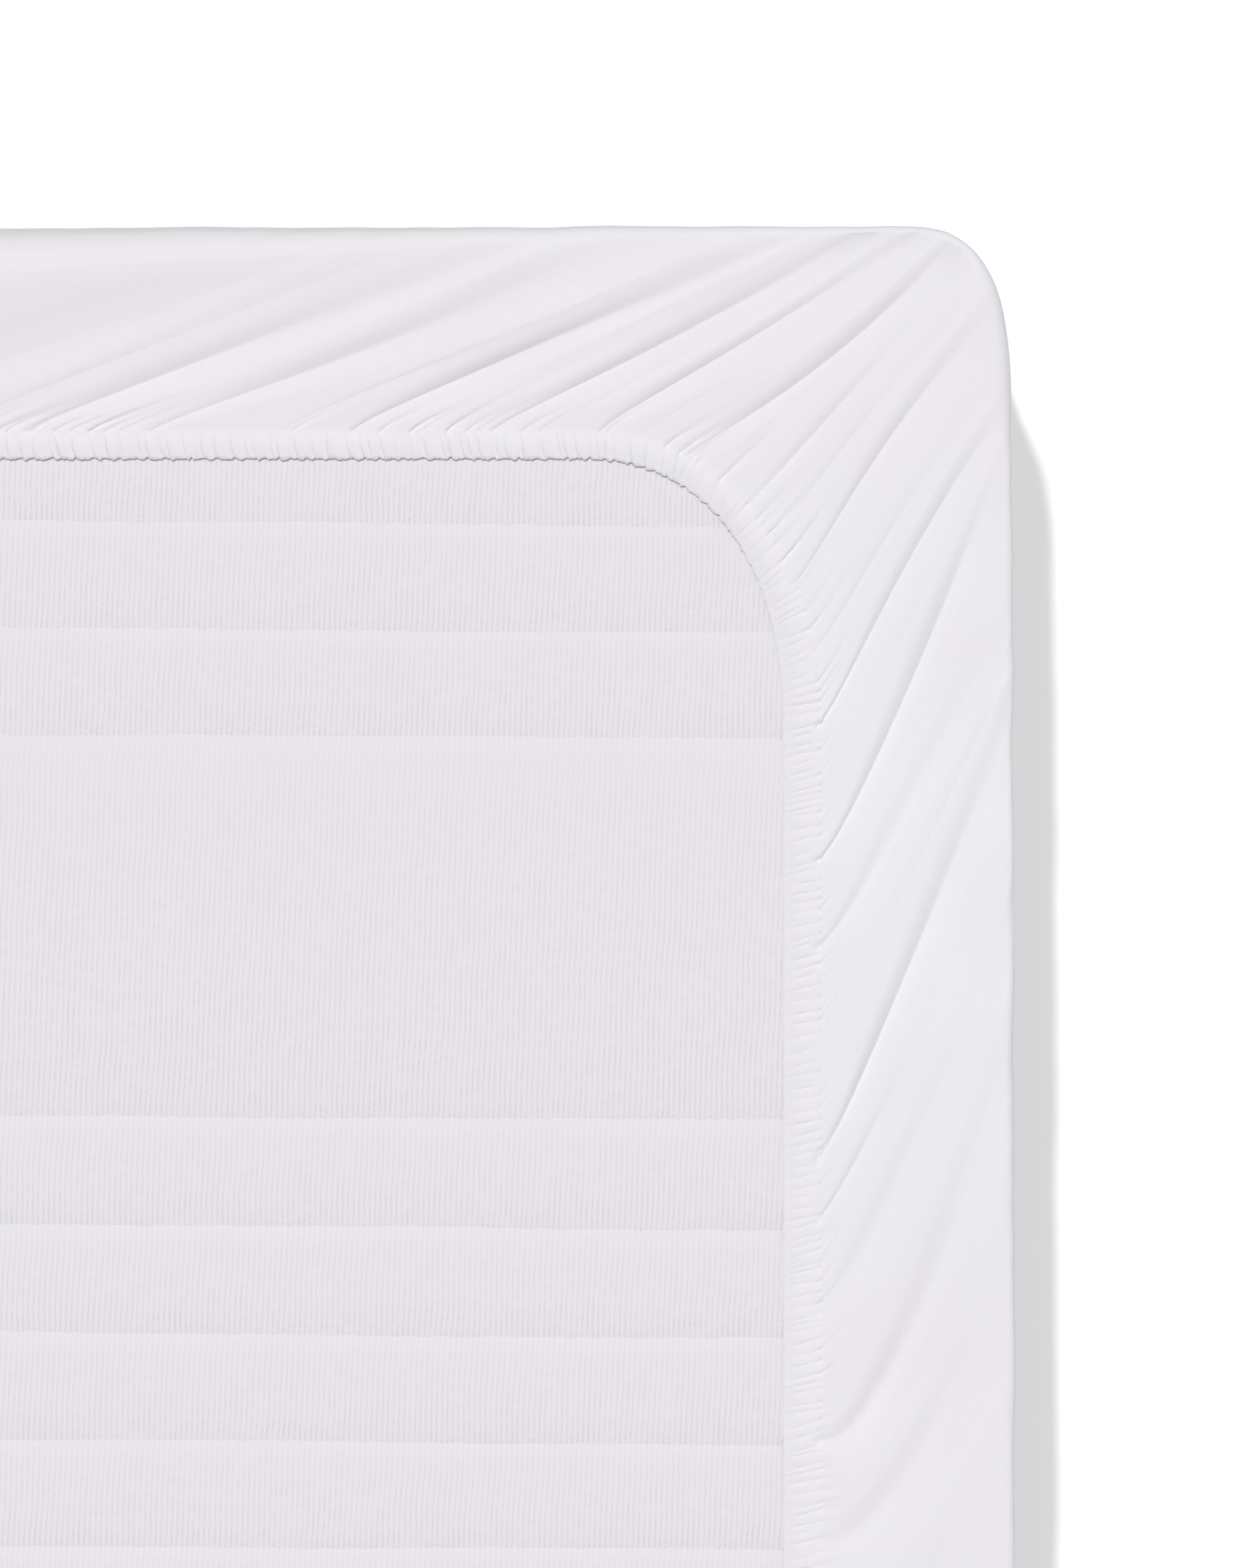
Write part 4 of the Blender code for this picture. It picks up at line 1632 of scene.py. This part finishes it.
@dataclass
class Mattress:
    """The mattress that the sheet is stretched over, with channels sewn across its ribbed ticking."""

    half_width: float
    half_length: float
    bottom: float
    top: float
    mouth: QuarterPath
    mouth_corner: Corner
    channel_pitch: float = 0.047
    first_channel: float = 0.0327
    first_zone_channels: int = 5
    second_zone_start: float = 0.3872
    channel_depth: float = 1.25 * MM
    reach_before: float = 5.5 * MM
    reach_after: float = 5.5 * MM
    margin: float = 0.030
    sag: float = 3.6 * MM
    sag_turns: tuple[float, float] = (-0.10, 0.50)
    sags_along: float = 9.0
    channel_wave: float = 0.5 * MM
    channel_wave_length: float = 0.33
    channel_wave_shift: float = 3.1
    uneven_strength: float = 0.25
    strength_length: float = 0.11
    slack_at_head: float = 0.35
    head_turns: tuple[float, float] = (0.70, 0.10)
    panel_half_width: float = 0.396
    panel_half_length: float = 0.945
    column_pitch: float = 0.012
    row_pitch: float = 0.030
    clear_of_channel: float = 0.020
    row_offsets: tuple[float, ...] = (
        -18 * MM, -12 * MM, -8 * MM, -5.5 * MM, -3.6 * MM, -2.2 * MM, -1.2 * MM, -0.5 * MM,
        0.0, 0.5 * MM, 1.2 * MM, 2.4 * MM, 4 * MM, 6.5 * MM, 10 * MM, 15 * MM,
    )
    corner: Corner = Corner(0.0520, 0.0830, 2.55)
    edge_radius: float = 0.024
    edge_turns: tuple[float, ...] = (0.0, 0.33, 0.66, 1.0)
    floor_turns: tuple[float, ...] = (0.0, 0.5, 1.0)
    plain_panel: tuple[float, float] = (0.02, 0.5)
    pressed: float = 2.2 * MM
    pressed_from: float = 0.96
    pressed_over: float = 0.07
    piece: bpy.types.Object | None = field(default=None, init=False)

    def channels(self) -> np.ndarray:
        """Where the channels lie along the mattress, from the head down.

        Returns:
            Their places.
        """
        first = [self.first_channel + self.channel_pitch * count for count in range(self.first_zone_channels)]
        count = round((self.half_length - self.second_zone_start) / self.channel_pitch)
        second = [self.second_zone_start + self.channel_pitch * number for number in range(count)]
        half = np.array([self.half_length - place for place in first + second])
        return np.concatenate([half, [0.0], -half[::-1]])

    def panel_rows(self) -> tuple[np.ndarray, np.ndarray, np.ndarray]:
        """Rows of the panel along the mattress, close together at the channels.

        Returns:
            Each row's place, its distance above the nearest channel, and how far down its panel it is.
        """
        channels = self.channels()
        end = self.panel_half_length
        beside = channels[:, None] + np.array(self.row_offsets)
        extra = np.arange(-end, end, self.row_pitch)
        far = np.abs(extra[:, None] - channels).min(axis=1) > self.clear_of_channel
        places = np.unique(np.round(np.concatenate([[end, -end], *beside, extra[far]]), 6))
        places = places[np.abs(places) <= end][::-1]
        nearest = channels[np.abs(places[:, None] - channels).argmin(axis=1)]
        above = np.concatenate([[self.half_length], channels])
        index = np.clip(np.searchsorted(-above, -places, side="right") - 1, 0, len(above) - 1)
        upper = above[index]
        lower = np.concatenate([above[1:], [-self.half_length]])[index]
        return places, places - nearest, (upper - places) / (upper - lower)

    def panel(self) -> tuple[np.ndarray, np.ndarray, np.ndarray]:
        """The ticking that shows, as a grid.

        Returns:
            Its points, its cloth map and its panel map, as rows by columns.
        """
        rows, offsets, parts = self.panel_rows()
        count = round(2 * self.panel_half_width / self.column_pitch)
        columns = np.linspace(-self.panel_half_width, self.panel_half_width, count + 1)
        along, across = np.meshgrid(rows, columns, indexing="ij")
        offset = np.broadcast_to(offsets[:, None], along.shape)
        margin = eased(self.panel_half_length - np.abs(along), 0.0, self.margin)
        sag = -self.sag * eased(across, *self.sag_turns) * np.sin(along * self.sags_along) ** 2
        shifted = across + self.channel_wave_shift * np.round(along - offset, 3)
        wave = self.channel_wave * waves(shifted, self.channel_wave_length, 3, 9)
        moved = along + (sag + wave) * margin
        below = np.exp(-np.maximum(-offset, 0.0) / self.reach_after)
        over = np.exp(-np.maximum(offset, 0.0) / self.reach_before)
        strength = self.uneven_strength * waves(across + along, self.strength_length, 4, 3)
        strength += 1.0 - self.uneven_strength - self.slack_at_head * eased(along, *self.head_turns)
        height = self.top - self.channel_depth * np.minimum(below, over) * margin * strength
        height -= self.under_flap(across, moved)
        points = np.stack([across, moved, height], axis=-1)
        cloth = np.stack([across, along], axis=-1)
        panel = np.stack([np.abs(offset), np.broadcast_to(parts[:, None], along.shape)], axis=-1)
        return points, cloth, panel

    def under_flap(self, across: np.ndarray, along: np.ndarray) -> np.ndarray:
        """How far the sheet presses the mattress down round its mouth.

        Args:
            across: Places across the mattress.
            along: Places along it.

        Returns:
            The depth at each place.
        """
        corner = self.mouth_corner
        right, top = self.mouth.points[:, 0].max(), self.mouth.points[:, 1].max()
        aside = np.maximum(np.abs(across) - right + corner.across, 0.0) / corner.across
        ahead = np.maximum(np.abs(along) - top + corner.along, 0.0) / corner.along
        reach = (aside**corner.fullness + ahead**corner.fullness) ** (1.0 / corner.fullness)
        return self.pressed * eased(reach, self.pressed_from, self.pressed_over)

    def skirt(self, border: np.ndarray) -> list[np.ndarray]:
        """Rings that carry the panel's border over the rounded edge and down the wall.

        Args:
            border: The panel's border, once round.

        Returns:
            Rings of points with as many points as the border.
        """
        path = QuarterPath(self.half_width, self.half_length, self.corner, lead=0.0)
        quarter = self.panel_half_width + self.panel_half_length
        across, along = np.abs(border[:, 0]), np.abs(border[:, 1])
        on_end = along >= self.panel_half_length - 1e-6
        share = np.where(on_end, across, quarter - along) / quarter
        flip = np.column_stack([np.where(border[:, 0] < 0, -1.0, 1.0), np.where(border[:, 1] < 0, -1.0, 1.0)])
        outline = path.point(share * path.length) * flip
        normal = path.normal(share * path.length) * flip
        section = []
        for angle in np.array(self.edge_turns) * math.pi / 2:
            drop = self.edge_radius * (1.0 - math.cos(angle))
            section.append((1.0 - math.sin(angle), self.top - self.pressed - drop))
        for angle in np.array(self.floor_turns) * math.pi / 2:
            section.append((1.0 - math.cos(angle), self.bottom + self.edge_radius * (1.0 - math.sin(angle))))
        rings = []
        for inward, height in section:
            place = outline - normal * self.edge_radius * inward
            rings.append(np.column_stack([place, np.full(len(border), height)]))
        return rings

    def build(self) -> None:
        """Make the mattress and dress it."""
        points, cloth, panel = self.panel()
        height, width = points.shape[:2]
        number = np.arange(height * width).reshape(height, width)
        border = np.concatenate([number[0, :-1], number[:-1, -1], number[-1, :0:-1], number[:0:-1, 0]])
        flat = points.reshape(-1, 3)
        rings = self.skirt(flat[border])
        size = len(border)
        starts = [border] + [len(flat) + size * ring + np.arange(size) for ring in range(len(rings))]
        everything = np.vstack([flat, *rings])
        quads = np.stack([number[:-1, :-1], number[1:, :-1], number[1:, 1:], number[:-1, 1:]], axis=-1)
        faces = quads.reshape(-1, 4).tolist()
        cloth_map = [cloth.reshape(-1, 2)[quads.ravel()]]
        for upper, lower in zip(starts[:-1], starts[1:]):
            loop = np.stack([upper, np.roll(upper, -1), np.roll(lower, -1), lower], axis=-1)
            faces += loop.tolist()
            across, along, up = everything[loop.ravel()].T
            cloth_map.append(np.column_stack([across, along + self.top - up]))
        faces.append(starts[-1].tolist())
        cloth_map.append(everything[starts[-1]][:, :2])
        cloth_map = np.vstack(cloth_map)
        panel_map = np.tile(self.plain_panel, (len(cloth_map), 1))
        panel_map[: quads.size] = panel.reshape(-1, 2)[quads.ravel()]
        maps = {SurfaceMap.CLOTH: cloth_map, SurfaceMap.PANEL: panel_map}
        mesh = meshed("ticking_mattress", everything, faces, maps)
        self.piece = placed("ticking_mattress", mesh, TICKING.material())

    def ride(self) -> None:
        """Put the mattress on its body in place of its solid."""
        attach(self.piece, "root")
        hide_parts("mattress")


# The studio


@dataclass
class Studio:
    """A white floor, soft light from above, a low sun from the head end, and the camera straight above."""

    target: tuple[float, float] = (0.284, 0.758)
    level: float = 0.204
    frame_height: float = 0.6844
    lens: float = 200.0
    sensor: float = 36.0
    sight: float = 100.0
    floor_reach: float = 6.0
    floor_parts: int = 24
    key_travel: tuple[float, float, float] = (27.5, -66.0, -190.0)
    key_strength: float = 1.60
    key_width: float = 2.0
    soft_travel: tuple[float, float, float] = (0.24, -0.14, -0.96)
    soft_strength: float = 1.12
    soft_width: float = 60.0
    sky_above: float = 0.22
    sky_side: float = 0.30
    horizon: tuple[float, float] = (-0.15, 0.30)
    floor_light: float = 0.90
    more_from_side: float = 0.35
    less_from_head: float = 0.45
    most_light: float = 1.2

    def floor(self) -> None:
        """Lay the floor that the mattress lies on."""
        mesh = bpy.data.meshes.new("studio_floor")
        shape = bmesh.new()
        parts = self.floor_parts
        bmesh.ops.create_grid(shape, x_segments=parts, y_segments=parts, size=self.floor_reach)
        shape.to_mesh(mesh)
        shape.free()
        made = placed("studio_floor", mesh, FLOOR.material())
        made.visible_diffuse = False

    def sun(self, name: str, travel: tuple[float, float, float], strength: float, width: float) -> None:
        """Add one distant light.

        Args:
            name: Its name.
            travel: The way that its light travels.
            strength: Its strength.
            width: How wide it looks, in degrees.
        """
        light = bpy.data.lights.new(name, "SUN")
        light.energy = strength
        light.angle = math.radians(width)
        made = bpy.data.objects.new(name, light)
        bpy.context.scene.collection.objects.link(made)
        made.rotation_mode = "QUATERNION"
        made.rotation_quaternion = Vector(travel).to_track_quat("-Z", "Y")

    def sky(self) -> None:
        """Even white light overhead, and what the white floor throws back, least beyond the head end."""
        world = bpy.data.worlds.new("white_surroundings")
        bpy.context.scene.world = world
        world.use_nodes = True
        plan = NodePlan(world.node_tree)
        across, along, up = plan.parts(plan.node("ShaderNodeTexCoord").outputs["Generated"])
        low = 1.0 - up.eased(*self.horizon)
        thrown = (across * self.more_from_side - along * self.less_from_head + 1.0) * self.floor_light
        above = across * self.sky_side + self.sky_above
        strength = (low * (thrown.at_most(self.most_light) - above) + above).at_least(0.0)
        plan.feed(world.node_tree.nodes["Background"], "Strength", strength)
        plan.feed(world.node_tree.nodes["Background"], "Color", opaque(WHITE))

    def camera(self) -> None:
        """The camera, straight above the corner that is photographed."""
        data = bpy.data.cameras.new("camera")
        data.lens = self.lens
        data.sensor_width = self.sensor
        data.clip_end = self.sight
        made = bpy.data.objects.new("camera", data)
        bpy.context.scene.collection.objects.link(made)
        distance = self.frame_height * self.lens / self.sensor
        made.location = (*self.target, self.level + distance)
        bpy.context.scene.camera = made

    def build(self) -> None:
        """Make the floor, the lights and the camera."""
        self.floor()
        self.sun("low_key_light", self.key_travel, self.key_strength, self.key_width)
        self.sun("soft_light", self.soft_travel, self.soft_strength, self.soft_width)
        self.sky()
        self.camera()
        bpy.context.scene.view_settings.view_transform = "Standard"


# All together


def report(piece: bpy.types.Object) -> None:
    """Log the triangles and the size of a piece.

    Args:
        piece: The piece.
    """
    size = ", ".join(f"{side:.4f}" for side in piece.dimensions)
    shape = piece.evaluated_get(bpy.context.evaluated_depsgraph_get()).data
    triangles = sum(len(face.vertices) - 2 for face in shape.polygons)
    LOG.info("%s: %d triangles, %s m", piece.name, triangles, size)


def main() -> None:
    """Build the mattress, the sheet and its elastic band, and the studio round them."""
    logging.basicConfig(level=logging.INFO, format="%(name)s %(message)s")
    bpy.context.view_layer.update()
    sheet_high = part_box("sheet")[1]
    mattress_low, mattress_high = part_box("mattress")

    drape = Drape(half_width=sheet_high.x, half_length=sheet_high.y)
    mattress = Mattress(
        half_width=mattress_high.x,
        half_length=mattress_high.y,
        bottom=mattress_low.z,
        top=mattress_high.z,
        mouth=drape.seam,
        mouth_corner=drape.seam_corner,
    )
    mattress.build()
    report(mattress.piece)

    sheet = FittedSheet(drape, top=mattress_high.z + SHEET_ABOVE_TICKING)
    sheet.build()
    report(sheet.piece)

    band = ElasticBand(drape, sheet_top=sheet.top, ticking_top=mattress_high.z)
    band.build()
    report(band.piece)

    mattress.ride()
    band.ride()
    sheet.ride(mattress, band)
    Studio().build()


if __name__ == "__main__":
    main()
